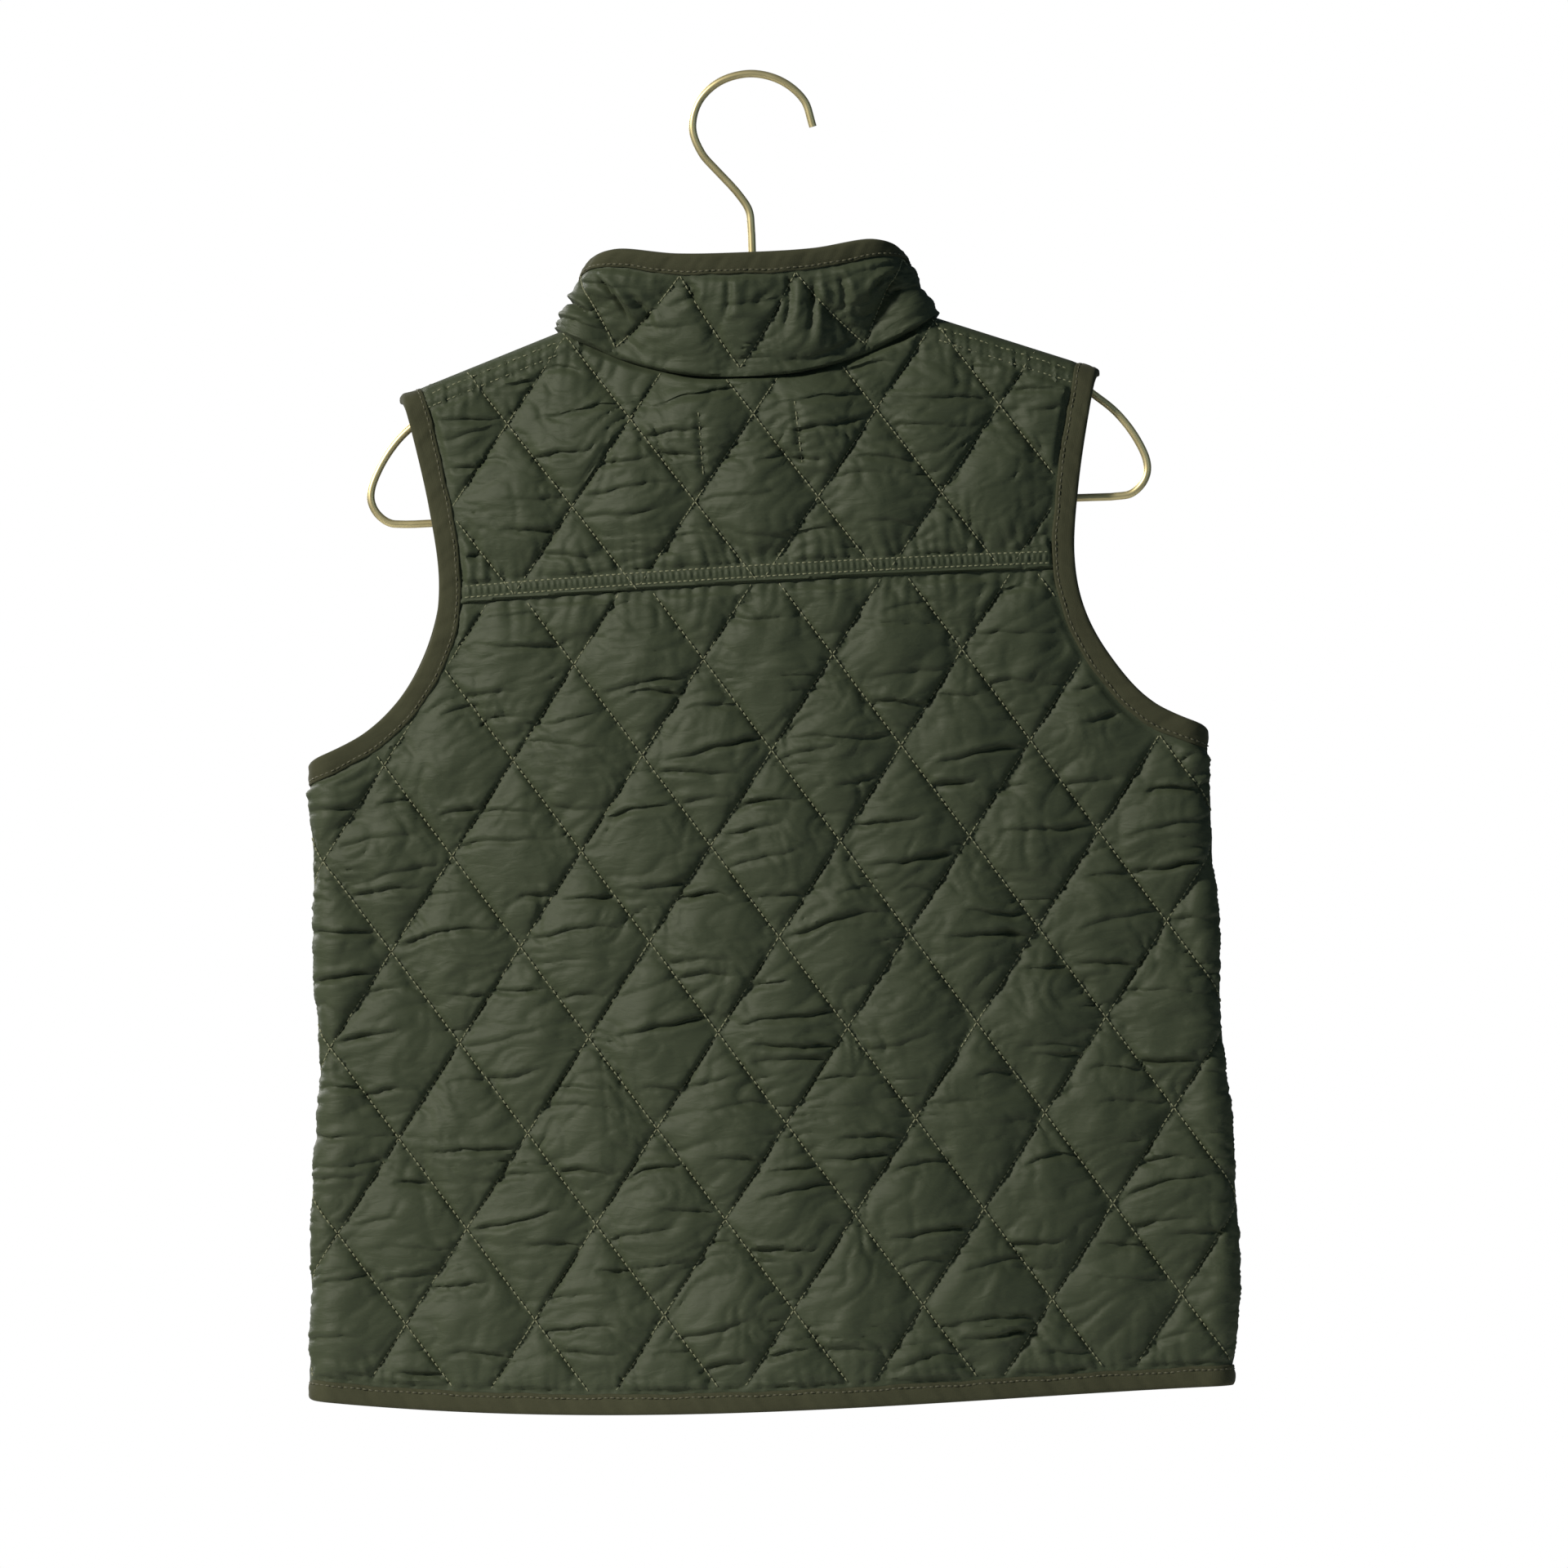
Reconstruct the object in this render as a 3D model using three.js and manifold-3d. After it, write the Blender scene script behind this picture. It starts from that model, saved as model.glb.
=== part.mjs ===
// A child's sleeveless quilted vest, zipped up and hung on a brass wire hanger.
// Millimetres, +Z up. The origin is the inner top of the hook, where a rod bears.
// The back of the vest faces -Y and the zipped front faces +Y. +X is the wearer's right.
// Each cloth piece is cut flat from its pattern (p across, q up, t outwards) and then hung.
import * as THREE from 'three';
import { mergeVertices } from 'three/addons/utils/BufferGeometryUtils.js';
import Module from 'manifold-3d';

const wasm = await Module();
wasm.setup();

// Cloth and seams
const GAP = 0.3;
const CLOTH = 1.6;
const PUFF = 3.2;
const TURN = 7;
const BINDING_WALL = 1;
const BINDING_SLACK = 0.6;
const ARMHOLE_BINDING = 8.5;
const HEM_BINDING = 8;
const COLLAR_BINDING = 8;
const SEAM_PLAIN = 2.5;
const LAP = 0.4;
const PATTERN = { low: -540, high: -60, reach: 225 };

// Quilting: width and height of a diamond, and a crossing of its stitch lines (x, z)
const PANEL_QUILT = { width: 49.6, height: 71.5, x: 0, z: -330 };
const YOKE_QUILT = { width: 47.2, height: 65.4, x: -2, z: -129.5 };
const COLLAR_QUILT = { width: 46.5, height: 70, x: -3, z: 2.5 };
const QUILT_STEPS = 3;
const PUFF_FULLNESS = 0.7;
const EDGE_PUFF = 0.4;
const EDGE_REACH = 16;
const INNER_RIPPLE = 0.04;
const STITCH_RISE = 0.05;

// Body: half width to the outside of the side seams, how far the middle stands out, its centre in x
const SECTIONS = [
  { z: -90, half: 172, crown: 12.5, lean: -3 },
  { z: -225, half: 172, crown: 13, lean: -3 },
  { z: -262, half: 172, crown: 13.5, lean: -5.2 },
  { z: -380, half: 173, crown: 15, lean: -5 },
  { z: -440, half: 177.5, crown: 16, lean: -6 },
  { z: -515, half: 177, crown: 17, lean: -9.8 },
];
const SHOULDER_PEAK = -69.5;
const SHOULDER_FALL = 0.36;
const SHOULDER_FADE = 52;

// Neck, armhole and hem outlines of one half: across, up
const NECK_HALF = 71;
const BACK_NECK = [[0, -114.5], [20, -113.5], [42, -108.5], [58, -102], [68, -97]];
const FRONT_NECK = [[0, -152], [22, -149], [42, -139], [58, -122], [68, -105]];
const ARMHOLE = [[130.5, -130], [124.8, -160], [122, -188], [125.5, -210], [136.2, -230], [152, -246]];
const UNDERARM_Z = -257;
const SHOULDER_TIP = 134.5;
const FRONT_ARMHOLE_EASE = { left: 3, right: -1.3 };
const HEM_Z = -511.5;
const HEM_RISE = 6.5;
const HEM_SKEW = 4;

// Yoke seam with its stitched band, and the stitched band below each shoulder seam
const YOKE_Z = -194;
const YOKE_SLOPE = 0.02;
const YOKE_BOW = 0.0001;
const YOKE_BAND = { height: 7, raise: 0.9 };
const SHOULDER_BAND = { height: 12, raise: 0.6 };

// Collar: height, its upper edge from centre back to centre front, and its two collapse folds
const COLLAR_HEIGHT = 46;
const COLLAR_CLOTH = 2;
const COLLAR_TOP = [
  { x: 0, y: -21, z: -67.5 },
  { x: 26, y: -20.5, z: -67 },
  { x: 51, y: -16, z: -64.4 },
  { x: 59, y: -5, z: -69.5 },
  { x: 61, y: 6, z: -77 },
  { x: 55, y: 14.5, z: -84 },
  { x: 38, y: 20.5, z: -94 },
  { x: 18, y: 23.5, z: -103.5 },
];
const COLLAR_FRONT_TOP = { x: 5.8, y: 24.5, z: -108 };
const COLLAR_FOLDS = [
  { from: [62, 28], to: [40, 6], depth: 3, width: 7 },
];

// Zip at the centre front
const FRONT_EDGE = 5.8;
const TAPE = { from: 3.1, to: 13, inner: -1.4, outer: -0.4 };
const CHAIN = { half: 2.8, inner: -2, outer: 0.6 };
const ZIP_BOTTOM = -507;
const SLIDER = { width: 8, height: 11, plate: 1.3, above: 4, lug: 1.4, root: 2, pinBelow: 2.6 };
const PULL = { width: 5.5, length: 30, thick: 1.4, eye: 2.4, hole: 1.15, pin: 0.8 };

// Hanger wire: hook from its tip to the stem, and the loop at one end of the frame, as x, z
const WIRE = 3;
const WIRE_SIDES = 8;
const WIRE_BEND = 0.17;
const WIRE_STEPS = 1200;
const HOOK = [
  [25.2, -19.8], [22.2, -9.6], [13.8, -1.8], [2, 1.5], [-10, -1.2], [-18.2, -8.6],
  [-21, -18.6], [-17.8, -28.4], [-11, -36.6], [-4.2, -44.8], [-0.6, -51], [0, -58], [0, -70],
];
const STEM_FOOT = -80;
const FRAME_APEX = -78;
const FRAME_SHOULDER = [35, 55, 75, 95];
const FRAME_LOOP = [
  [118, -118.6], [131.3, -128], [138.5, -134.5], [145, -143.5], [148.9, -152.5], [149, -157.5],
  [146.8, -162], [142.5, -165.4], [137, -166.2],
];
const FRAME_CENTRE = -0.8;
const FRAME_BAR = -166.2;

// The angle between two folds where the cloth turns over
const FOLD = Math.PI / 4;
const LEAST_EDGE = 0.12;
const WELD = 0.01;
const ARMHOLE_STEPS = 60;

const fall = Math.hypot(1, SHOULDER_FALL);
const seamOver = (TURN + CLOTH / 2) * Math.PI / 2 - TURN - CLOTH;
const vest = new THREE.Group();

function ease(value) {
  const part = THREE.MathUtils.clamp(value, 0, 1);
  return part * part * (3 - 2 * part);
}

// A column of the section table at height z, eased between its rows
function section(column, z) {
  const last = SECTIONS.length - 1;
  let row = 0;
  while (row < last - 1 && z < SECTIONS[row + 1].z) row += 1;
  const above = SECTIONS[row];
  const below = SECTIONS[row + 1];
  const part = ease((above.z - z) / (above.z - below.z));
  return THREE.MathUtils.lerp(above[column], below[column], part);
}

const shoulder = (p) => SHOULDER_PEAK - SHOULDER_FALL * Math.abs(p);
const lean = (z) => section('lean', z);
const yokeSeam = (p) => YOKE_Z + YOKE_SLOPE * p - YOKE_BOW * p * p;

function hem(p) {
  const part = p / 177;
  return HEM_Z + HEM_RISE * part ** 2 - HEM_SKEW * part ** 3;
}

// Angles by which the cloth has turned over towards the side seam and the shoulder seam
const turnX = (q) => section('half', q) - TURN - CLOTH;
const turnZ = (p) => shoulder(p) - TURN - CLOTH;
const sideAngle = (p, q) => (Math.abs(p) - turnX(q)) / (TURN + CLOTH / 2);
const shoulderAngle = (p, q) => (q - turnZ(p)) / (TURN + CLOTH / 2);

// Hangs a point of the flat body pattern: side is -1 on the back and 1 on the front
function hang(side, p, q, t) {
  const [atSide, atShoulder] = [sideAngle(p, q), shoulderAngle(p, q)];
  const x = atSide > 0 ? Math.sign(p) * (turnX(q) + (TURN + t) * Math.sin(atSide)) : p;
  const z = atShoulder > 0 ? turnZ(p) + (TURN + t) * Math.sin(atShoulder) : q;
  const across = Math.min(1, Math.abs(p) / turnX(q));
  const bow = section('crown', q) * (1 - across ** 2) ** 2 * ease((turnZ(p) - q) / SHOULDER_FADE);
  const flat = Math.cos(Math.max(0, atSide)) * Math.cos(Math.max(0, atShoulder));
  return new THREE.Vector3(x + lean(z), side * ((TURN + t) * flat + bow), z);
}

const back = (p, q, t) => hang(-1, p, q, t);
const front = (p, q, t) => hang(1, p, q, t);

// The armhole of one half, from the shoulder seam down to the side seam
function armhole(sideEase) {
  const tip = [SHOULDER_TIP, shoulder(SHOULDER_TIP) + seamOver];
  const foot = [section('half', UNDERARM_Z) + seamOver, UNDERARM_Z];
  const points = [tip, ...ARMHOLE, foot].map(([p, q]) => new THREE.Vector2(p, q));
  const dense = new THREE.SplineCurve(points).getSpacedPoints(ARMHOLE_STEPS);
  const turning = ({ x, y }) => Math.max(sideAngle(x, y), shoulderAngle(x, y)) > -0.2;
  const kept = dense.filter((point, index) => index % 3 === 0 || turning(point));
  return kept.map((point) => {
    const along = THREE.MathUtils.clamp((point.y - YOKE_Z) / (UNDERARM_Z - YOKE_Z), 0, 1);
    const shift = sideEase * Math.sin(Math.PI * along) * Math.SQRT1_2;
    return { p: point.x + shift, q: point.y - shift };
  });
}

// The neck of one half, from its middle up to the shoulder seam
function neck(rows) {
  const end = [NECK_HALF, shoulder(NECK_HALF) + seamOver];
  const points = [...rows, end].map(([p, q]) => new THREE.Vector2(p, q));
  return new THREE.SplineCurve(points).getSpacedPoints(9).map(({ x, y }) => ({ p: x, q: y }));
}

const mirrored = (points) => points.map(({ p, q, edge }) => ({ p: -p, q, edge }));
const bound = (points) => points.map((point) => ({ ...point, edge: 'bound' }));
const sewn = (points) => points.map((point) => ({ ...point, edge: 'sewn' }));

// The side seam of one half between the underarm and the hem
function sideSeam(sign) {
  const rows = 14;
  const lowest = hem(sign * (section('half', HEM_Z) + seamOver));
  return Array.from({ length: rows - 1 }, (_, row) => {
    const q = THREE.MathUtils.lerp(UNDERARM_Z, lowest, (row + 1) / rows);
    return { p: section('half', q) + seamOver, q };
  });
}

function hemLine() {
  const reach = section('half', HEM_Z) + seamOver;
  const steps = 24;
  return Array.from({ length: steps + 1 }, (_, step) => {
    const p = reach * (1 - 2 * step / steps);
    return { p, q: hem(p) };
  });
}

// The finished outline of the back or front, clockwise from the middle of the neck
function outline(neckRows, easeRight, easeLeft) {
  const rightNeck = neck(neckRows);
  const right = [
    ...sewn(rightNeck),
    ...bound(armhole(easeRight).slice(0, -1)),
    ...sewn([armhole(0).at(-1), ...sideSeam(1)]),
  ];
  const left = [
    ...sewn(sideSeam(-1).reverse()),
    ...bound(armhole(easeLeft).reverse().slice(0, -1)),
    ...sewn([armhole(0)[0], ...rightNeck.slice(1).reverse()]),
  ];
  const lowest = [...bound(hemLine().slice(0, -1)), ...sewn(hemLine().slice(-1))];
  return [...right, ...lowest, ...mirrored(left)];
}

// Moves each edge of a clockwise outline inwards by the width of its kind
function inset(points, widths) {
  const count = points.length;
  const normal = (from, to) => {
    const length = Math.hypot(to.p - from.p, to.q - from.q);
    return [(to.q - from.q) / length, (from.p - to.p) / length];
  };
  return points.map((point, index) => {
    const previous = points[(index + count - 1) % count];
    const next = points[(index + 1) % count];
    const [ax, ay] = normal(previous, point);
    const [bx, by] = normal(point, next);
    const before = widths[previous.edge];
    const after = widths[point.edge];
    const cross = ax * by - ay * bx;
    if (Math.abs(cross) < 0.02) {
      return { p: point.p + ax * after, q: point.q + ay * after, edge: point.edge };
    }
    const shiftP = (before * by - after * ay) / cross;
    const shiftQ = (after * ax - before * bx) / cross;
    return { p: point.p + shiftP, q: point.q + shiftQ, edge: point.edge };
  });
}

function solid(positions, triangles) {
  return new wasm.Manifold(new wasm.Mesh({
    numProp: 3,
    vertProperties: new Float32Array(positions),
    triVerts: new Uint32Array(triangles),
  }));
}

function solidOf(geometry) {
  geometry.deleteAttribute('normal');
  geometry.deleteAttribute('uv');
  const merged = mergeVertices(geometry, 1e-4);
  return solid(merged.getAttribute('position').array, merged.getIndex().array);
}

// A plate of a flat outline between two heights
function plate(points, bottom, top) {
  const shape = new THREE.Shape(points.map(({ p, q }) => new THREE.Vector2(p, q)));
  const geometry = new THREE.ExtrudeGeometry(shape, { depth: top - bottom, bevelEnabled: false });
  geometry.translate(0, 0, bottom);
  return solidOf(geometry);
}

// The part of the pattern between two lines given as functions of p
function between(lower, upper) {
  const steps = 24;
  const across = Array.from({ length: steps + 1 }, (_, step) => PATTERN.reach * (2 * step / steps - 1));
  return [
    ...across.map((p) => ({ p, q: upper(p) })),
    ...across.reverse().map((p) => ({ p, q: lower(p) })),
  ];
}

// A slab over the given box, laid out on the diamonds between crossed stitch lines
function diamondSlab(quilt, box, skew, steps, topOf, bottomOf) {
  const place = (i, j) => {
    const [s, u] = [i / steps, j / steps];
    const q = quilt.z + quilt.height * (s - u) / 2;
    return { p: quilt.x + quilt.width * (s + u) / 2 - skew(q), q, s, u };
  };
  const cells = new Map();
  const most = 20 * steps;
  for (let i = -most; i < most; i += 1) {
    for (let j = -most; j < most; j += 1) {
      const { p, q } = place(i + 0.5, j + 0.5);
      if (p > box.left && p < box.right && q > box.low && q < box.high) cells.set(`${i},${j}`, [i, j]);
    }
  }
  const positions = [];
  const triangles = [];
  const corners = new Map();
  const corner = ([i, j], level) => {
    const key = `${i},${j},${level}`;
    if (!corners.has(key)) {
      const { p, q, s, u } = place(i, j);
      const rise = Math.abs(Math.sin(Math.PI * s) * Math.sin(Math.PI * u)) ** PUFF_FULLNESS;
      corners.set(key, positions.length / 3);
      positions.push(p, q, level === 'top' ? topOf(p, q, rise) : bottomOf(i, j));
    }
    return corners.get(key);
  };
  const quad = (a, b, c, d) => triangles.push(a, b, c, a, c, d);
  const height = (vertex) => positions[3 * vertex + 2];
  for (const [i, j] of cells.values()) {
    const ring = [[i, j], [i, j + 1], [i + 1, j + 1], [i + 1, j]];
    const [a, b, c, d] = ring.map((point) => corner(point, 'top'));
    if (height(a) + height(c) >= height(b) + height(d)) quad(a, b, c, d);
    else quad(b, c, d, a);
    quad(...ring.map((point) => corner(point, 'bottom')).reverse());
    const beside = [[i - 1, j], [i, j + 1], [i + 1, j], [i, j - 1]];
    beside.forEach((cell, side) => {
      if (cells.has(cell.join())) return;
      const [from, to] = [ring[side], ring[(side + 1) % 4]];
      quad(corner(to, 'top'), corner(from, 'top'), corner(from, 'bottom'), corner(to, 'bottom'));
    });
  }
  return solid(positions, triangles);
}

// Quilting that rises from the middle of the cloth, lower close to the edges of the given outline
function quilting(quilt, box, skew, edge) {
  const raise = (p, q) => PUFF * (EDGE_PUFF + (1 - EDGE_PUFF) * ease(distanceTo(edge, p, q) / EDGE_REACH));
  const topOf = (p, q, rise) => CLOTH + STITCH_RISE + raise(p, q) * rise;
  return diamondSlab(quilt, box, skew, QUILT_STEPS, topOf, () => CLOTH / 2);
}

// Plain cloth on the same diamonds, whose inner side is all but flat
function plainCloth(quilt, box, skew, thickness) {
  const inside = (i, j) => ((i + j) % 2 === 0 ? 0 : INNER_RIPPLE);
  return diamondSlab(quilt, box, skew, 1, () => thickness, inside);
}

function distanceTo(points, p, q) {
  const nearest = points.map((from, index) => {
    const to = points[(index + 1) % points.length];
    const runP = to.p - from.p;
    const runQ = to.q - from.q;
    const along = ((p - from.p) * runP + (q - from.q) * runQ) / (runP ** 2 + runQ ** 2);
    const part = THREE.MathUtils.clamp(along, 0, 1);
    return Math.hypot(p - from.p - part * runP, q - from.q - part * runQ);
  });
  return Math.min(...nearest);
}

// Scores every triangle along the line where a value of the pattern, in millimetres, is zero
function score(vertices, triangles, value) {
  const values = vertices.map(([p, q]) => value(p, q));
  const side = (vertex) => (Math.abs(values[vertex]) < LEAST_EDGE ? 0 : Math.sign(values[vertex]));
  const cuts = new Map();
  const cut = (a, b) => {
    const key = a < b ? `${a},${b}` : `${b},${a}`;
    if (!cuts.has(key)) {
      const part = values[a] / (values[a] - values[b]);
      const between = vertices[a].map((from, axis) => from + part * (vertices[b][axis] - from));
      cuts.set(key, vertices.push(between) - 1);
      values.push(0);
    }
    return cuts.get(key);
  };
  return triangles.flatMap((triangle) => {
    for (let turn = 0; turn < 3; turn += 1) {
      const [a, b, c] = [triangle[turn], triangle[(turn + 1) % 3], triangle[(turn + 2) % 3]];
      const [sideA, sideB, sideC] = [side(a), side(b), side(c)];
      if (sideA === 0 && sideB * sideC < 0) {
        const m = cut(b, c);
        return [[a, b, m], [a, m, c]];
      }
      if (sideA !== 0 && sideB === -sideA && sideC === -sideA) {
        const [m, n] = [cut(a, b), cut(a, c)];
        return [[a, m, n], [m, b, c], [m, c, n]];
      }
    }
    return [triangle];
  });
}

// Draws the two ends of every very short edge together
function welded(vertices, triangles) {
  const home = vertices.map((_, vertex) => vertex);
  const find = (vertex) => {
    let root = vertex;
    while (home[root] !== root) root = home[root];
    return root;
  };
  const apart = (a, b) => Math.hypot(...vertices[a].map((value, axis) => value - vertices[b][axis]));
  for (const [a, b, c] of triangles) {
    for (const [from, to] of [[a, b], [b, c], [c, a]]) {
      if (apart(from, to) < WELD) home[find(from)] = find(to);
    }
  }
  const moved = triangles.map((triangle) => triangle.map(find));
  return moved.filter(([a, b, c]) => a !== b && b !== c && c !== a);
}

// Hangs a flat piece, folded only along the given lines and between the corners of its diamonds
function hung(manifold, place, lines) {
  const mesh = manifold.getMesh();
  const vertices = [];
  for (let index = 0; index < mesh.vertProperties.length; index += mesh.numProp) {
    vertices.push([...mesh.vertProperties.slice(index, index + 3)]);
  }
  let triangles = [];
  for (let index = 0; index < mesh.triVerts.length; index += 3) {
    triangles.push([...mesh.triVerts.slice(index, index + 3)]);
  }
  for (const line of lines) triangles = score(vertices, triangles, line);
  triangles = welded(vertices, triangles);
  return facing(vertices.map((vertex) => place(...vertex)), triangles.flat());
}

// A strip of cloth on a grid, whose top has its valleys along the stitch lines
function stripCloth(across, up, topOf) {
  const vertices = [];
  const at = (column, row, level) => 2 * (column * up.length + row) + level;
  for (const s of across) {
    for (const h of up) vertices.push([s, h, 0], [s, h, topOf(s, h)]);
  }
  const triangles = [];
  const quad = (a, b, c, d) => {
    const [first, second] = [vertices[a][2] + vertices[c][2], vertices[b][2] + vertices[d][2]];
    const plain = 2 * COLLAR_CLOTH + 0.1;
    const alongFirst = second > plain && (first <= plain || first >= second);
    triangles.push(...(alongFirst ? [a, b, c, a, c, d] : [b, c, d, b, d, a]));
  };
  const [lastColumn, lastRow] = [across.length - 1, up.length - 1];
  for (let i = 0; i < lastColumn; i += 1) {
    for (let j = 0; j < lastRow; j += 1) {
      quad(at(i, j, 1), at(i + 1, j, 1), at(i + 1, j + 1, 1), at(i, j + 1, 1));
      quad(at(i, j + 1, 0), at(i + 1, j + 1, 0), at(i + 1, j, 0), at(i, j, 0));
    }
    quad(at(i, 0, 0), at(i + 1, 0, 0), at(i + 1, 0, 1), at(i, 0, 1));
    quad(at(i, lastRow, 1), at(i + 1, lastRow, 1), at(i + 1, lastRow, 0), at(i, lastRow, 0));
  }
  for (let j = 0; j < lastRow; j += 1) {
    quad(at(0, j, 0), at(0, j, 1), at(0, j + 1, 1), at(0, j + 1, 0));
    quad(at(lastColumn, j, 1), at(lastColumn, j, 0), at(lastColumn, j + 1, 0), at(lastColumn, j + 1, 1));
  }
  return { vertices, triangles };
}

// A geometry of the given points and triangles, turned so that its faces point out
function facing(points, triangles) {
  let volume = 0;
  for (let index = 0; index < triangles.length; index += 3) {
    const [a, b, c] = triangles.slice(index, index + 3).map((vertex) => points[vertex]);
    volume += a.dot(new THREE.Vector3().crossVectors(b, c));
  }
  const ordered = volume < 0 ? [...triangles].reverse() : triangles;
  const geometry = new THREE.BufferGeometry();
  const positions = points.flatMap((point) => point.toArray());
  geometry.setAttribute('position', new THREE.Float32BufferAttribute(positions, 3));
  geometry.setIndex(ordered);
  geometry.computeVertexNormals();
  return geometry;
}

// A closed section carried through rings of points, with ends unless it runs round
function swept(rings, sectionPoints, closed) {
  const size = sectionPoints.length;
  const triangles = [];
  const last = closed ? rings.length : rings.length - 1;
  for (let ring = 0; ring < last; ring += 1) {
    const next = (ring + 1) % rings.length;
    for (let side = 0; side < size; side += 1) {
      const other = (side + 1) % size;
      const [a, b] = [ring * size + side, ring * size + other];
      const [c, d] = [next * size + other, next * size + side];
      triangles.push(a, b, c, a, c, d);
    }
  }
  if (!closed) {
    const caps = THREE.ShapeUtils.triangulateShape(sectionPoints.map(([x, y]) => new THREE.Vector2(x, y)), []);
    const end = (rings.length - 1) * size;
    const turned = THREE.ShapeUtils.area(sectionPoints.map(([x, y]) => new THREE.Vector2(x, y))) < 0;
    caps.forEach(([a, b, c]) => {
      const [first, second] = turned ? [b, c] : [c, b];
      triangles.push(a, first, second, end + a, end + second, end + first);
    });
  }
  return facing(rings.flat(), triangles);
}

function add(name, geometry, colour, roughness, metalness = 0) {
  const material = new THREE.MeshStandardMaterial({ color: colour, roughness, metalness });
  const mesh = new THREE.Mesh(geometry, material);
  mesh.name = name;
  vest.add(mesh);
}

const shellCloth = [0x3f4a37, 0.5];
const bindingCloth = [0x3b3a2b, 0.85];
const zipPlastic = [0x2c3026, 0.6];
const brass = [0xb79a55, 0.32, 1];

// Body panels: a plain cloth with the quilting raised on it inside the seams
const backOutline = outline(BACK_NECK, 0, 0);
const frontOutline = outline(FRONT_NECK, FRONT_ARMHOLE_EASE.right, FRONT_ARMHOLE_EASE.left);
const panelEdge = { sewn: GAP / 2, bound: BINDING_WALL + GAP };
const quiltEdge = { sewn: SEAM_PLAIN, bound: ARMHOLE_BINDING + 1.5 };
const bodyFolds = [0, FOLD * (TURN + CLOTH / 2)].flatMap((past) => [
  (p, q) => p - turnX(q) - past,
  (p, q) => -p - turnX(q) - past,
  (p, q) => q - turnZ(p) - past,
]);
bodyFolds.push(...[0.5, 1].map((part) => (p, q) => q - turnZ(p) + part * SHOULDER_FADE));
const low = () => PATTERN.low;
const high = () => PATTERN.high;

function bodyPanel(points, place, quilt, regions, bands) {
  const cut = inset(points, panelEdge);
  const quilted = inset(points, quiltEdge);
  const levels = quilted.map(({ q }) => q);
  const box = { left: -PATTERN.reach, right: PATTERN.reach };
  box.low = Math.min(...levels) - quilt.height;
  box.high = Math.max(...levels) + quilt.height;
  const diamonds = quilting(quilt, box, lean, quilted);
  let panel = plainCloth(quilt, box, lean, CLOTH).intersect(plate(cut, -1, CLOTH + 1));
  panel = panel.intersect(plate(regions.cloth, -1, CLOTH + 1));
  panel = panel.add(diamonds.intersect(plate(quilted, 0, 10)).intersect(plate(regions.quilt, 0, 10)));
  for (const { region, raise: height } of bands) {
    const band = plate(quilted, CLOTH / 2, CLOTH + height).intersect(plate(region, 0, 10));
    panel = panel.add(band);
  }
  return hung(panel, place, bodyFolds);
}

const shoulderLine = (p) => shoulder(p) + seamOver;
const shoulderBandLine = (p) => shoulderLine(p) - SHOULDER_BAND.height;
const shoulderBandFoot = (p) => shoulderBandLine(p) - LAP;
const shoulderBand = { region: between(shoulderBandFoot, high), raise: SHOULDER_BAND.raise };

const yokeEdge = (p) => yokeSeam(p) + GAP / 2;
const yokeBandTop = (p) => yokeSeam(p) + YOKE_BAND.height;
const yokeRegions = { cloth: between(yokeEdge, high), quilt: between(yokeBandTop, shoulderBandLine) };
const yokeBand = { region: between(yokeEdge, (p) => yokeBandTop(p) + LAP), raise: YOKE_BAND.raise };
const backYoke = bodyPanel(backOutline, back, YOKE_QUILT, yokeRegions, [yokeBand, shoulderBand]);
add('back_yoke', backYoke, ...shellCloth);

const lowerEdge = (p) => yokeSeam(p) - GAP / 2;
const lowerQuilt = (p) => yokeSeam(p) - SEAM_PLAIN;
const lowerRegions = { cloth: between(low, lowerEdge), quilt: between(low, lowerQuilt) };
add('back_panel', bodyPanel(backOutline, back, PANEL_QUILT, lowerRegions, []), ...shellCloth);

function rectangle(left, right, bottom, top) {
  return [{ p: left, q: top }, { p: right, q: top }, { p: right, q: bottom }, { p: left, q: bottom }];
}

for (const [name, sign] of [['front_right', 1], ['front_left', -1]]) {
  const beyond = (inner) => {
    const [left, right] = sign > 0 ? [inner, PATTERN.reach] : [-PATTERN.reach, -inner];
    return rectangle(left, right, PATTERN.low, PATTERN.high);
  };
  const regions = { cloth: beyond(FRONT_EDGE), quilt: beyond(FRONT_EDGE + SEAM_PLAIN) };
  add(name, bodyPanel(frontOutline, front, PANEL_QUILT, regions, []), ...shellCloth);
}

// Collar: a strip between the neck seam and its upper edge, round from front to front
function neckEdge(rows, place) {
  return neck(rows).map((point, index, points) => {
    const from = points[Math.max(0, index - 1)];
    const to = points[Math.min(points.length - 1, index + 1)];
    const length = Math.hypot(to.p - from.p, to.q - from.q);
    const beside = ease(index / (points.length - 1));
    const off = GAP + beside * (COLLAR_CLOTH / 2 + 2 * GAP);
    return place(point.p - off * (to.q - from.q) / length, point.q + off * (to.p - from.p) / length, CLOTH / 2);
  });
}

function mirrorAcross(point) {
  return new THREE.Vector3(2 * lean(point.z) - point.x, point.y, point.z);
}

function bothHalves(half) {
  return [...half.slice(1).reverse().map(mirrorAcross), ...half];
}

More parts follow.
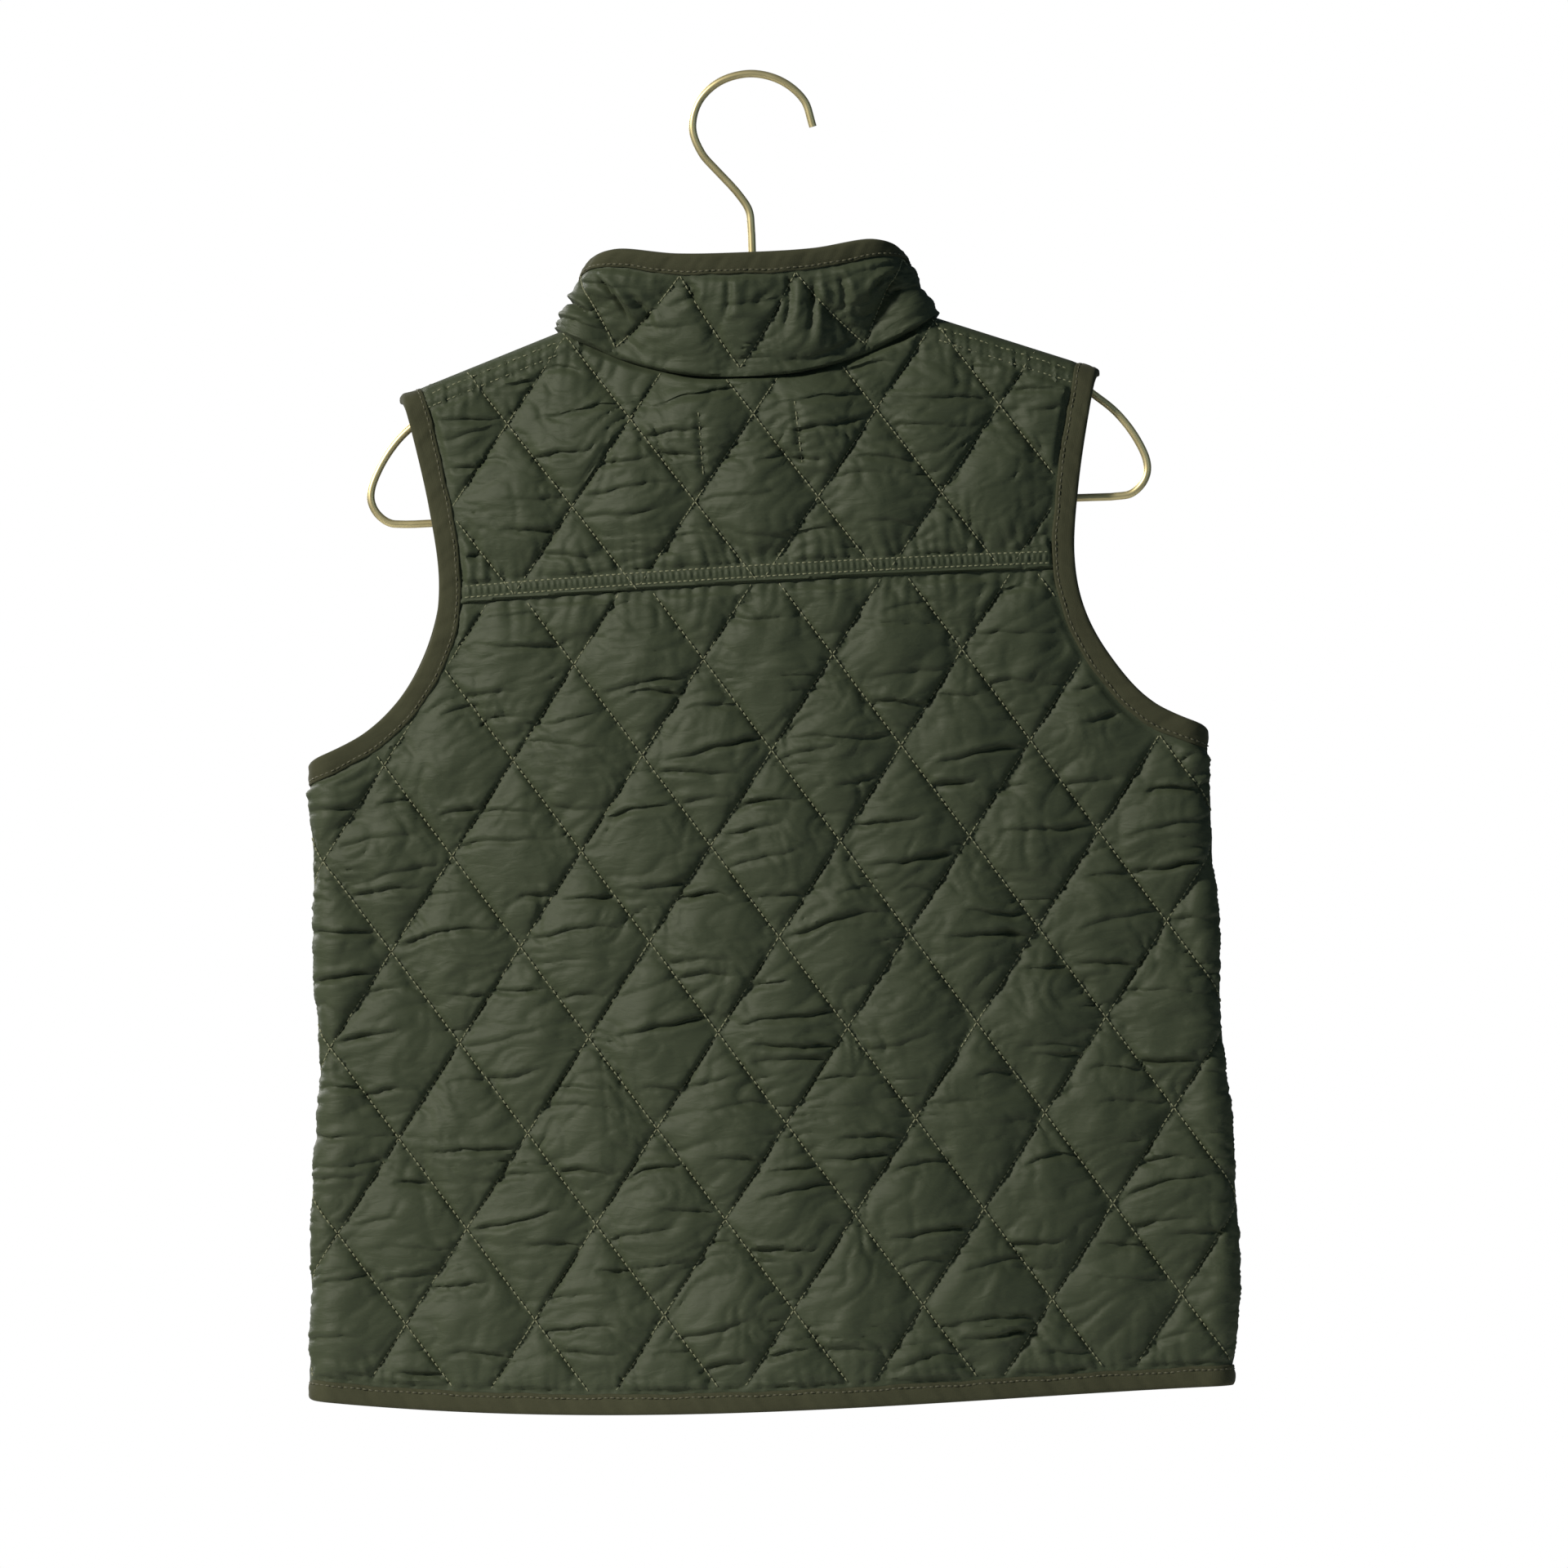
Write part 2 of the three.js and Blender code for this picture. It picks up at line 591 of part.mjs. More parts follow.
const backNeckEdge = neckEdge(BACK_NECK, back);
const frontNeckEdge = neckEdge(FRONT_NECK, front).reverse().slice(1);
const frontStart = frontNeckEdge.at(-1).clone().setX(lean(FRONT_NECK[0][1]) + FRONT_EDGE);
const lowerHalf = [...backNeckEdge, ...frontNeckEdge.slice(0, -1), frontStart];
const upperHalf = [...COLLAR_TOP, COLLAR_FRONT_TOP].map(({ x, y, z }) => new THREE.Vector3(x + lean(z), y, z));
const collarLower = new THREE.CatmullRomCurve3(bothHalves(lowerHalf));
const collarUpper = new THREE.CatmullRomCurve3(bothHalves(upperHalf));
collarLower.arcLengthDivisions = 600;
collarUpper.arcLengthDivisions = 600;
const collarReach = (collarLower.getLength() + collarUpper.getLength()) / 4;

function foldDepth(s, h) {
  return COLLAR_FOLDS.reduce((sum, { from, to, depth, width }) => {
    const run = [to[0] - from[0], to[1] - from[1]];
    const length = Math.hypot(...run);
    const along = ((Math.abs(s) - from[0]) * run[0] + (h - from[1]) * run[1]) / length ** 2;
    const beside = ((Math.abs(s) - from[0]) * run[1] - (h - from[1]) * run[0]) / length;
    const fade = ease(along * 3) * ease((1 - along) * 3);
    return sum + depth * fade * Math.exp(-((beside / width) ** 2));
  }, 0);
}

function collar(s, h, t) {
  const along = THREE.MathUtils.clamp(0.5 + s / collarReach / 2, 0, 1);
  const step = 0.004;
  const up = h / COLLAR_HEIGHT;
  const at = (part) => {
    const clamped = THREE.MathUtils.clamp(part, 0, 1);
    return collarLower.getPointAt(clamped).lerp(collarUpper.getPointAt(clamped), up);
  };
  const run = at(Math.min(1, along + step)).sub(at(Math.max(0, along - step)));
  const rise = collarUpper.getPointAt(along).sub(collarLower.getPointAt(along));
  const out = new THREE.Vector3().crossVectors(run, rise).normalize();
  const bow = 1.2 * Math.sin(Math.PI * THREE.MathUtils.clamp(up, 0, 1)) - foldDepth(s, h);
  return at(along).addScaledVector(out, t - COLLAR_CLOTH / 2 + bow);
}

const collarAcross = [-collarReach];
const collarStep = COLLAR_QUILT.width / 6;
for (let s = COLLAR_QUILT.x - 30 * collarStep; s < collarReach - 3; s += collarStep) {
  if (s > 3 - collarReach) collarAcross.push(s);
}
collarAcross.push(collarReach);
const collarUp = [0, 1, 2, 3].map((row) => COLLAR_QUILT.z + row * COLLAR_QUILT.height / 6);
collarUp.unshift(GAP);
collarUp.push(COLLAR_HEIGHT - BINDING_WALL - GAP);

function collarHeight(s, h) {
  const across = (s - COLLAR_QUILT.x) / COLLAR_QUILT.width;
  const up = (h - COLLAR_QUILT.z) / COLLAR_QUILT.height;
  const rise = Math.abs(Math.sin(Math.PI * (across + up)) * Math.sin(Math.PI * (across - up))) ** PUFF_FULLNESS;
  const inner = h > GAP && h < COLLAR_HEIGHT - COLLAR_BINDING - 1 && Math.abs(s) < collarReach;
  const full = Math.min(1, (collarReach - Math.abs(s)) / EDGE_REACH);
  return COLLAR_CLOTH + (inner ? PUFF * full * rise : 0);
}

const collarCloth = stripCloth(collarAcross, collarUp, collarHeight);
const collarPoints = collarCloth.vertices.map((vertex) => collar(...vertex));
add('collar', facing(collarPoints, collarCloth.triangles), ...shellCloth);

// A binding folded over an edge: d runs inwards from its fold, t through the cloth
function bindingSection(width, cloth) {
  const inner = -BINDING_SLACK;
  const outer = cloth + BINDING_SLACK;
  return [
    [0, inner - BINDING_WALL], [width, inner - BINDING_WALL], [width, inner], [BINDING_WALL, inner],
    [BINDING_WALL, outer], [width, outer], [width, outer + BINDING_WALL], [0, outer + BINDING_WALL],
  ];
}

function bindingRings(stations, sectionPoints) {
  return stations.map(({ place, p, q, inP, inQ }) => sectionPoints.map(([d, t]) => (
    place(p + inP * d, q + inQ * d, t)
  )));
}

// Stations on an edge, each with the direction into the cloth on its right hand side
function stationsOn(points, place, startIn, endIn) {
  return points.map(({ p, q }, index) => {
    const from = points[Math.max(0, index - 1)];
    const to = points[Math.min(points.length - 1, index + 1)];
    const length = Math.hypot(to.p - from.p, to.q - from.q);
    let into = [(to.q - from.q) / length, (from.p - to.p) / length];
    if (index === 0 && startIn) into = startIn;
    if (index === points.length - 1 && endIn) into = endIn;
    return { place, p, q, inP: into[0], inQ: into[1] };
  });
}

for (const [name, sign] of [['armhole_binding_right', 1], ['armhole_binding_left', -1]]) {
  const alongShoulder = [-1 / fall, SHOULDER_FALL / fall];
  const alongSide = [0, -1];
  const frontEase = sign > 0 ? FRONT_ARMHOLE_EASE.right : FRONT_ARMHOLE_EASE.left;
  const hold = (place) => (p, q, t) => place(sign * p, q, t);
  const backHalf = stationsOn(armhole(0), hold(back), alongShoulder, alongSide);
  const frontHalf = stationsOn(armhole(frontEase), hold(front), alongShoulder, alongSide);
  const loop = [...backHalf, ...frontHalf.reverse().slice(1, -1)];
  const sectionPoints = bindingSection(ARMHOLE_BINDING, CLOTH);
  add(name, swept(bindingRings(loop, sectionPoints), sectionPoints, true), ...bindingCloth);
}

// The hem binding runs from the zip round the back to the zip
function hemStations() {
  const seam = section('half', HEM_Z) + seamOver;
  const turn = seam - (TURN + CLOTH / 2) * Math.PI / 2;
  const across = [FRONT_EDGE + GAP / 2];
  for (let p = 24; p < turn - 8; p += 18) across.push(p);
  across.push(turn, (turn + seam) / 2);
  const line = (sign, place) => across.map((p) => ({ place, p: sign * p, q: hem(sign * p), inP: 0, inQ: 1 }));
  const ends = (sign) => [{ place: back, p: sign * seam, q: hem(sign * seam), inP: 0, inQ: 1 }];
  return [
    ...line(-1, front), ...ends(-1), ...line(-1, back).reverse(),
    ...line(1, back), ...ends(1), ...line(1, front).reverse(),
  ];
}

const hemSection = bindingSection(HEM_BINDING, CLOTH);
add('hem_binding', swept(bindingRings(hemStations(), hemSection), hemSection, false), ...bindingCloth);

const collarStation = (s) => ({ place: collar, p: s, q: COLLAR_HEIGHT, inP: 0, inQ: -1 });
const collarStations = collarAcross.map(collarStation);
const collarSection = bindingSection(COLLAR_BINDING, COLLAR_CLOTH);
add('collar_binding', swept(bindingRings(collarStations, collarSection), collarSection, false), ...bindingCloth);

// Zip: two tapes behind the front edges and the closed chain between them
const neckFront = FRONT_NECK[0][1];
function atZip(p, q, t) {
  if (q <= neckFront) return front(p, q, t);
  const beyond = Math.max(0, Math.abs(p) - FRONT_EDGE);
  const point = collar(Math.sign(p || 1) * (collarReach - beyond), q - neckFront, t);
  return beyond > 0 ? point : point.setX(lean(point.z) + p);
}

function zipStrip(pFrom, pTo, tFrom, tTo, bottom, top) {
  const levels = [bottom];
  for (let q = -480; q < neckFront - 4; q += 30) levels.push(q);
  levels.push(neckFront - 1, neckFront + 3, (neckFront + top) / 2, top);
  const sectionPoints = [[pFrom, tFrom], [pTo, tFrom], [pTo, tTo], [pFrom, tTo]];
  const rings = levels.map((q) => sectionPoints.map(([p, t]) => atZip(p, q, t)));
  return swept(rings, sectionPoints, false);
}

const tapeBottom = HEM_Z + HEM_BINDING + 3;
const chainTop = neckFront + COLLAR_HEIGHT - 10;
for (const [name, sign] of [['zip_tape_right', 1], ['zip_tape_left', -1]]) {
  const tape = zipStrip(sign * TAPE.from, sign * TAPE.to, TAPE.inner, TAPE.outer, tapeBottom, chainTop);
  add(name, tape, ...zipPlastic);
}
const chain = zipStrip(-CHAIN.half, CHAIN.half, CHAIN.inner, CHAIN.outer, ZIP_BOTTOM, chainTop);
add('zip_chain', chain, ...zipPlastic);

// Slider: two plates joined above the end of the chain, with lugs that hold a pin
const chainEnd = atZip(0, chainTop, 0);
const sliderX = chainEnd.x;
const wedgeLow = chainEnd.z + GAP;
const wedgeHigh = wedgeLow + SLIDER.above;
const plateLow = wedgeHigh - SLIDER.height;
const backFace = chainEnd.y + CHAIN.inner - 2 * GAP;
const frontFace = chainEnd.y + CHAIN.outer + 2 * GAP;
const pinY = frontFace + SLIDER.plate + PULL.eye + GAP;
const pinZ = wedgeHigh - SLIDER.pinBelow;

function alongX(points, width) {
  const shape = new THREE.Shape(points.map(([y, z]) => new THREE.Vector2(y, z)));
  const geometry = new THREE.ExtrudeGeometry(shape, { depth: width, bevelEnabled: false });
  const axes = new THREE.Matrix4().makeBasis(
    new THREE.Vector3(0, 1, 0), new THREE.Vector3(0, 0, 1), new THREE.Vector3(1, 0, 0),
  );
  geometry.applyMatrix4(axes);
  geometry.translate(sliderX - width / 2, 0, 0);
  return solidOf(geometry);
}

const sliderBody = alongX([
  [backFace - SLIDER.plate, plateLow], [backFace, plateLow], [backFace, wedgeLow], [frontFace, wedgeLow],
  [frontFace, plateLow], [frontFace + SLIDER.plate, plateLow], [frontFace + SLIDER.plate, wedgeHigh],
  [backFace - SLIDER.plate, wedgeHigh],
], SLIDER.width);
const lugTip = pinY + SLIDER.lug;
const lugs = alongX([
  [frontFace + SLIDER.plate / 2, pinZ - SLIDER.root], [lugTip, pinZ - PULL.hole], [lugTip, pinZ + PULL.hole],
  [frontFace + SLIDER.plate / 2, pinZ + SLIDER.root],
], PULL.width + 2 * SLIDER.lug).subtract(alongX([
  [frontFace + SLIDER.plate, pinZ - SLIDER.height], [pinY + SLIDER.height, pinZ - SLIDER.height],
  [pinY + SLIDER.height, pinZ + SLIDER.height], [frontFace + SLIDER.plate, pinZ + SLIDER.height],
], PULL.width + 2 * GAP));
const ring = (radius, sides) => Array.from({ length: sides }, (_, side) => {
  const angle = 2 * Math.PI * side / sides;
  return [pinY + radius * Math.cos(angle), pinZ + radius * Math.sin(angle)];
});
const pin = alongX(ring(PULL.pin, 10), PULL.width + 2);
const meshOf = (manifold) => hung(manifold, (x, y, z) => new THREE.Vector3(x, y, z), []);
add('zip_slider', meshOf(sliderBody.add(lugs).add(pin)), ...brass);

// Pull tab: an eye round the pin and a flat tab that hangs from it
const tab = alongX([
  [pinY - PULL.thick / 2, pinZ - PULL.length], [pinY + PULL.thick / 2, pinZ - PULL.length],
  [pinY + PULL.thick / 2, pinZ], [pinY - PULL.thick / 2, pinZ],
], PULL.width);
const eye = alongX(ring(PULL.eye, 16), PULL.width);
add('zip_pull', meshOf(tab.add(eye).subtract(alongX(ring(PULL.hole, 12), PULL.width + 2))), ...brass);

// Hanger: a round wire in the plane y = 0, with a ring wherever it has turned a little further
function wire(curve) {
  const rings = [];
  let last = null;
  for (let step = 0; step <= WIRE_STEPS; step += 1) {
    const along = curve.getTangentAt(step / WIRE_STEPS);
    if (step < WIRE_STEPS && last && along.angleTo(last) < WIRE_BEND) continue;
    last = along;
    const centre = curve.getPointAt(step / WIRE_STEPS);
    const beside = new THREE.Vector3(-along.z, 0, along.x);
    rings.push(Array.from({ length: WIRE_SIDES }, (_, side) => {
      const angle = 2 * Math.PI * (side + 0.5) / WIRE_SIDES;
      const point = centre.clone().addScaledVector(beside, WIRE / 2 * Math.cos(angle));
      return point.setY(WIRE / 2 * Math.sin(angle));
    }));
  }
  const circle = Array.from({ length: WIRE_SIDES }, (_, side) => {
    const angle = 2 * Math.PI * side / WIRE_SIDES;
    return [Math.cos(angle), Math.sin(angle)];
  });
  return swept(rings, circle, false);
}

function inPlane(points) {
  const places = points.map(([x, z]) => new THREE.Vector3(x, 0, z));
  const curve = new THREE.CatmullRomCurve3(places, false, 'centripetal');
  curve.arcLengthDivisions = WIRE_STEPS;
  return curve;
}

add('hanger_hook', wire(inPlane([...HOOK, [0, STEM_FOOT]])), ...brass);

// The frame lies just under the shoulders and carries them
const frameEnd = WIRE / 2 + GAP + 0.1;
function frameSide(sign) {
  const under = FRAME_SHOULDER.map((p) => {
    const z = shoulder(p) - CLOTH - (GAP + WIRE / 2) * fall;
    return [lean(z) + sign * p, z];
  });
  const loop = FRAME_LOOP.map(([x, z]) => [FRAME_CENTRE + sign * x, z]);
  return [[sign * frameEnd, FRAME_APEX], ...under, ...loop, [sign * 120, FRAME_BAR], [sign * 60, FRAME_BAR]];
}
add('hanger_frame', wire(inPlane([...frameSide(1), [0, FRAME_BAR], ...frameSide(-1).reverse()])), ...brass);

export default vest;
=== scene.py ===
import math

import bpy
import numpy as np
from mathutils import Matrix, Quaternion, Vector, geometry


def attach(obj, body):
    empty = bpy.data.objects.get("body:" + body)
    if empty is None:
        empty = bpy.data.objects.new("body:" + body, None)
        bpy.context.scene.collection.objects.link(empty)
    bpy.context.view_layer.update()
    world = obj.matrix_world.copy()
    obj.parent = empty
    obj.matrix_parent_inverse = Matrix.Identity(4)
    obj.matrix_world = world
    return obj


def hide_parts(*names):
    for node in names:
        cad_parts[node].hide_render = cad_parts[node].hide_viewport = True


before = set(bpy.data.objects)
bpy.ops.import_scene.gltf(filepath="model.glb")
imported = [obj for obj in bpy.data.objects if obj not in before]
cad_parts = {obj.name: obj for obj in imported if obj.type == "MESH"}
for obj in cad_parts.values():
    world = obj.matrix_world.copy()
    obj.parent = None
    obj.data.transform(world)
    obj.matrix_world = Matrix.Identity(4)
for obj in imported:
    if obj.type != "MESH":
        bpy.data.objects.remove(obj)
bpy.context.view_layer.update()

# Camera, floor and light
# The vest hangs in front of plain white. The camera stands square to its back, at the height of its
# middle, and leans by the little over two degrees that the photograph shows.
CAMERA_DISTANCE = 7.0
CAMERA_WIDTH = 0.6013
CAMERA_LEAN = 2.25
CAMERA_ASIDE = 0.0042
CAMERA_Z = -0.2716
BACK_STANDS_OUT = 0.01
bpy.ops.object.camera_add(location=(CAMERA_ASIDE, -CAMERA_DISTANCE, CAMERA_Z))
camera = bpy.context.object
camera.name = "camera"
lean_over = Quaternion((0, 1, 0), math.radians(CAMERA_LEAN))
camera.rotation_euler = (lean_over @ Quaternion((1, 0, 0), math.pi / 2)).to_euler()
camera.data.angle = 2 * math.atan(CAMERA_WIDTH / 2 / (CAMERA_DISTANCE - BACK_STANDS_OUT))
bpy.context.scene.camera = camera
bpy.context.scene.view_settings.view_transform = "Standard"


def set_to(node, **values):
    """Sets a node's inputs by name, with a low line for each space, and gives the node back."""
    for socket, value in values.items():
        node.inputs[socket.replace("_", " ")].default_value = value
    return node


FLOOR_SIZE = 1.3
FLOOR_Z = -0.68
bpy.ops.mesh.primitive_plane_add(size=FLOOR_SIZE, location=(0, 0, FLOOR_Z))
floor = bpy.context.object
floor.name = "floor"
floor_paint = bpy.data.materials.new("pale_floor")
floor_paint.use_nodes = True
set_to(floor_paint.node_tree.nodes["Principled BSDF"], Base_Color=(0.8, 0.8, 0.79, 1), Roughness=0.9)
floor.data.materials.append(floor_paint)

LIGHT_AIM_Z = -0.29


def softbox(name, place, size, power, colour):
    bpy.ops.object.light_add(type="AREA", location=place)
    light = bpy.context.object
    light.name = name
    light.data.size = size
    light.data.energy = power
    light.data.color = colour
    aim = Vector((0, 0, LIGHT_AIM_Z)) - Vector(place)
    light.rotation_euler = aim.to_track_quat("-Z", "Y").to_euler()


softbox("key_light", (-3.1, -2.4, 1.75), size=0.45, power=186, colour=(1.0, 0.95, 0.84))
softbox("fill_light", (2.2, -2.4, 0.2), size=2.0, power=5, colour=(0.6, 0.88, 1.0))
softbox("front_light", (-2.5, 3.0, 1.2), size=2.0, power=95, colour=(1.0, 0.98, 0.95))

world = bpy.data.worlds.new("white_room")
bpy.context.scene.world = world
world.use_nodes = True
air = world.node_tree
set_to(air.nodes["Background"], Color=(0.72, 0.9, 1.0, 1), Strength=0.075)
seen = set_to(air.nodes.new("ShaderNodeBackground"), Color=(1, 1, 1, 1), Strength=1.0)
ray = air.nodes.new("ShaderNodeLightPath")
either = air.nodes.new("ShaderNodeMixShader")
air.links.new(ray.outputs["Is Camera Ray"], either.inputs["Fac"])
air.links.new(air.nodes["Background"].outputs["Background"], either.inputs[1])
air.links.new(seen.outputs["Background"], either.inputs[2])
air.links.new(either.outputs["Shader"], air.nodes["World Output"].inputs["Surface"])

# Lower back
# The large quilted piece below the yoke: nylon taffeta stitched through thin wadding on crossed lines.
# It is cut flat in pattern millimetres (p across, q up, t outwards), then hung as the solid hangs:
# round the side seams, over the shoulder seams, with its middle standing out.
MM = 0.001
GAP = 0.3
CLOTH = 1.6
TURN = 7.0
SECTIONS = [
    {"z": -90, "half": 172, "crown": 12.5, "lean": -3},
    {"z": -225, "half": 172, "crown": 13, "lean": -3},
    {"z": -262, "half": 172, "crown": 13.5, "lean": -5.2},
    {"z": -380, "half": 173, "crown": 15, "lean": -5},
    {"z": -440, "half": 177.5, "crown": 16, "lean": -6},
    {"z": -515, "half": 177, "crown": 17, "lean": -9.8},
]
SHOULDER_PEAK = -69.5
SHOULDER_FALL = 0.36
SHOULDER_SLANT = math.hypot(1, SHOULDER_FALL)
SHOULDER_FADE = 52
SEAM_OVER = (TURN + CLOTH / 2) * math.pi / 2 - TURN - CLOTH


def ease(value):
    part = np.clip(value, 0, 1)
    return part * part * (3 - 2 * part)


def bell(off, width):
    """A rounded ridge, one at its middle."""
    return np.exp(-((off / width) ** 2))


def unit(rows):
    return rows / np.linalg.norm(rows, axis=-1)[..., None]


def pairs(p, q):
    """Flat points from their two columns."""
    return np.stack([p, q], axis=1)


def section(column, z):
    levels = -np.array([row["z"] for row in SECTIONS], float)
    values = np.array([row[column] for row in SECTIONS], float)
    row = np.clip(np.searchsorted(levels, -np.asarray(z, float), side="right") - 1, 0, len(levels) - 2)
    part = ease((-z - levels[row]) / (levels[row + 1] - levels[row]))
    return values[row] + part * (values[row + 1] - values[row])


def lean(z):
    return section("lean", z)


def shoulder(p):
    return SHOULDER_PEAK - SHOULDER_FALL * np.abs(p)


def hang(side, p, q, t):
    """Places of flat pattern points on the hanging vest; side is -1 on the back, 1 on the front."""
    turn_x = section("half", q) - TURN - CLOTH
    turn_z = shoulder(p) - TURN - CLOTH
    at_side = np.maximum(0, (np.abs(p) - turn_x) / (TURN + CLOTH / 2))
    at_shoulder = np.maximum(0, (q - turn_z) / (TURN + CLOTH / 2))
    x = np.where(at_side > 0, np.sign(p) * (turn_x + (TURN + t) * np.sin(at_side)), p)
    z = np.where(at_shoulder > 0, turn_z + (TURN + t) * np.sin(at_shoulder), q)
    across = np.minimum(1, np.abs(p) / turn_x)
    bow = section("crown", q) * (1 - across**2) ** 2 * ease((turn_z - q) / SHOULDER_FADE)
    y = side * ((TURN + t) * np.cos(at_side) * np.cos(at_shoulder) + bow)
    return np.stack([x + lean(z), y, z], axis=-1) * MM


def back(p, q, t):
    return hang(-1, p, q, t)


def front(p, q, t):
    return hang(1, p, q, t)


UNDERARM_Z = -257
ARMHOLE = [(130.5, -130), (124.8, -160), (122, -188), (125.5, -210), (136.2, -230), (152, -246)]
SHOULDER_TIP = 134.5
NECK_HALF = 71
BACK_NECK = [(0, -114.5), (20, -113.5), (42, -108.5), (58, -102), (68, -97)]
YOKE_Z = -194
YOKE_SLOPE = 0.02
YOKE_BOW = 0.0001
HEM_Z = -511.5
HEM_RISE = 6.5
HEM_SKEW = 4
EDGE_STEP = 1.4


def yoke_seam(p):
    return YOKE_Z + YOKE_SLOPE * p - YOKE_BOW * p * p


def hem(p):
    return HEM_Z + HEM_RISE * (p / 177) ** 2 - HEM_SKEW * (p / 177) ** 3


def half_width(q):
    """How far from the middle the cloth ends at a side seam."""
    return section("half", q) + SEAM_OVER


hem_reach = half_width(HEM_Z)


def lengths(points):
    """How far along a line each of its points lies."""
    return np.concatenate([[0], np.cumsum(np.linalg.norm(np.diff(points, axis=0), axis=1))])


def resampled(points, step):
    points = np.asarray(points, float)
    length = lengths(points)
    count = max(2, int(round(length[-1] / step)) + 1)
    at = np.linspace(0, length[-1], count)
    return np.stack([np.interp(at, length, points[:, axis]) for axis in range(points.shape[1])], axis=1)


def cubic(b, c, into, out, steps):
    """A curve from b towards c that leaves along into and arrives along out."""
    part = np.linspace(0, 1, steps, endpoint=False)[:, None]
    bent = (2 * b - 2 * c + into + out) * part**3 + (3 * c - 3 * b - 2 * into - out) * part**2
    return bent + into * part + b


def flat_curve(points, step=EDGE_STEP):
    """A smooth curve through flat points, at even steps."""
    points = np.asarray(points, float)
    padded = np.vstack([points[:1], points, points[-1:]])
    runs = zip(padded, padded[1:], padded[2:], padded[3:])
    dense = [cubic(b, c, (c - a) / 2, (d - b) / 2, 60) for a, b, c, d in runs]
    return resampled(np.vstack(dense + [points[-1:]]), step)


def armhole(side_ease=0.0):
    tip = (SHOULDER_TIP, shoulder(SHOULDER_TIP) + SEAM_OVER)
    foot = (half_width(UNDERARM_Z), UNDERARM_Z)
    curve = flat_curve([tip, *ARMHOLE, foot])
    along = np.clip((curve[:, 1] - YOKE_Z) / (UNDERARM_Z - YOKE_Z), 0, 1)
    shift = side_ease * np.sin(np.pi * along) * math.sqrt(0.5)
    return pairs(curve[:, 0] + shift, curve[:, 1] - shift)


def neck(rows, step=EDGE_STEP):
    return flat_curve([*rows, (NECK_HALF, shoulder(NECK_HALF) + SEAM_OVER)], step)


def side_seam(sign):
    q = np.arange(UNDERARM_Z, hem(sign * hem_reach), -EDGE_STEP * 2)
    return pairs(half_width(q), q)


def flip(points):
    return points[::-1] * (-1, 1)


def outline(neck_rows, ease_right, ease_left):
    """The finished outline, clockwise from the middle of the neck, with the kind of edge after each point."""
    across = np.linspace(hem_reach, -hem_reach, int(2 * hem_reach / EDGE_STEP / 2))
    right = neck(neck_rows)
    runs = [
        (right, "sewn", "shoulder"), (armhole(ease_right)[:-1], "bound", "bound"),
        (side_seam(1), "sewn", "sewn"), (pairs(across, hem(across)), "bound", "sewn"),
        (flip(side_seam(-1)), "sewn", "bound"), (flip(armhole(ease_left))[1:], "bound", "shoulder"),
        (flip(right)[:-1], "sewn", "sewn"),
    ]
    points = np.vstack([run for run, _, _ in runs])
    kinds = [kind for run, held, last in runs for kind in [held] * (len(run) - 1) + [last]]
    return points, kinds


def inset(points, kinds, widths):
    """Moves each edge of a clockwise outline inwards by the width of its kind."""
    before, after = np.roll(points, 1, axis=0), np.roll(points, -1, axis=0)
    run_in, run_out = unit(points - before), unit(after - points)
    normal_in = pairs(run_in[:, 1], -run_in[:, 0])
    normal_out = pairs(run_out[:, 1], -run_out[:, 0])
    width = np.array([widths[kind] for kind in kinds])
    width_in = np.roll(width, 1)
    cross = normal_in[:, 0] * normal_out[:, 1] - normal_in[:, 1] * normal_out[:, 0]
    corner = np.abs(cross) > 0.25
    safe = np.where(corner, cross, 1)
    shift_p = (width_in * normal_out[:, 1] - width * normal_in[:, 1]) / safe
    shift_q = (width * normal_in[:, 0] - width_in * normal_out[:, 0]) / safe
    plain = normal_out * width[:, None]
    return points + np.where(corner[:, None], pairs(shift_p, shift_q), plain)


def cut(points, value, follow):
    """Keeps the stretch of a closed outline where value is above zero, and closes it along the cut."""
    kept = value(points) > 0
    start = next(i for i in range(len(points)) if kept[i] and not kept[i - 1])
    points, kept = np.roll(points, -start, axis=0), np.roll(kept, -start)
    count = int(np.argmin(kept)) if not kept.all() else len(points)
    stretch = points[:count]
    seam = resampled([follow(stretch[-1]), follow(stretch[0])], EDGE_STEP)
    return np.vstack([stretch, np.array([follow(point) for point in seam])])


def inside(outline_points, points):
    """Whether points lie within a closed outline, and how far they are from it."""
    within = np.zeros(len(points), bool)
    nearest = np.full(len(points), 1e9)
    x, y = points[:, 0], points[:, 1]
    for (ax, ay), (bx, by) in zip(outline_points, np.roll(outline_points, -1, axis=0)):
        run_x, run_y = bx - ax, by - ay
        crosses = (ay > y) != (by > y)
        within ^= crosses & (x < ax + (y - ay) * run_x / (run_y or 1))
        part = np.clip(((x - ax) * run_x + (y - ay) * run_y) / (run_x**2 + run_y**2 + 1e-12), 0, 1)
        np.minimum(nearest, (x - ax - part * run_x) ** 2 + (y - ay - part * run_y) ** 2, out=nearest)
    return within, np.sqrt(nearest)


# Quilting rises between the stitch lines; s and u count the lines of the two directions
PUFF = 4.6
PUFF_FULLNESS = 0.56
PUFF_UNEVEN = 0.34
EDGE_PUFF = 0.6
EDGE_REACH = 14
CREASED_HILL = 0.22
LOWEST = -0.6
NOTCH_RADIUS = 1.4
NOTCH_DEPTH = 0.7
# Where each crease of a diamond lies, how deep it is and how often it is there
CREASES = ((0.5, 1.0, 0.85), (-0.46, 1.0, 0.85), (0.14, 0.85, 0.62), (-0.16, 0.85, 0.62))
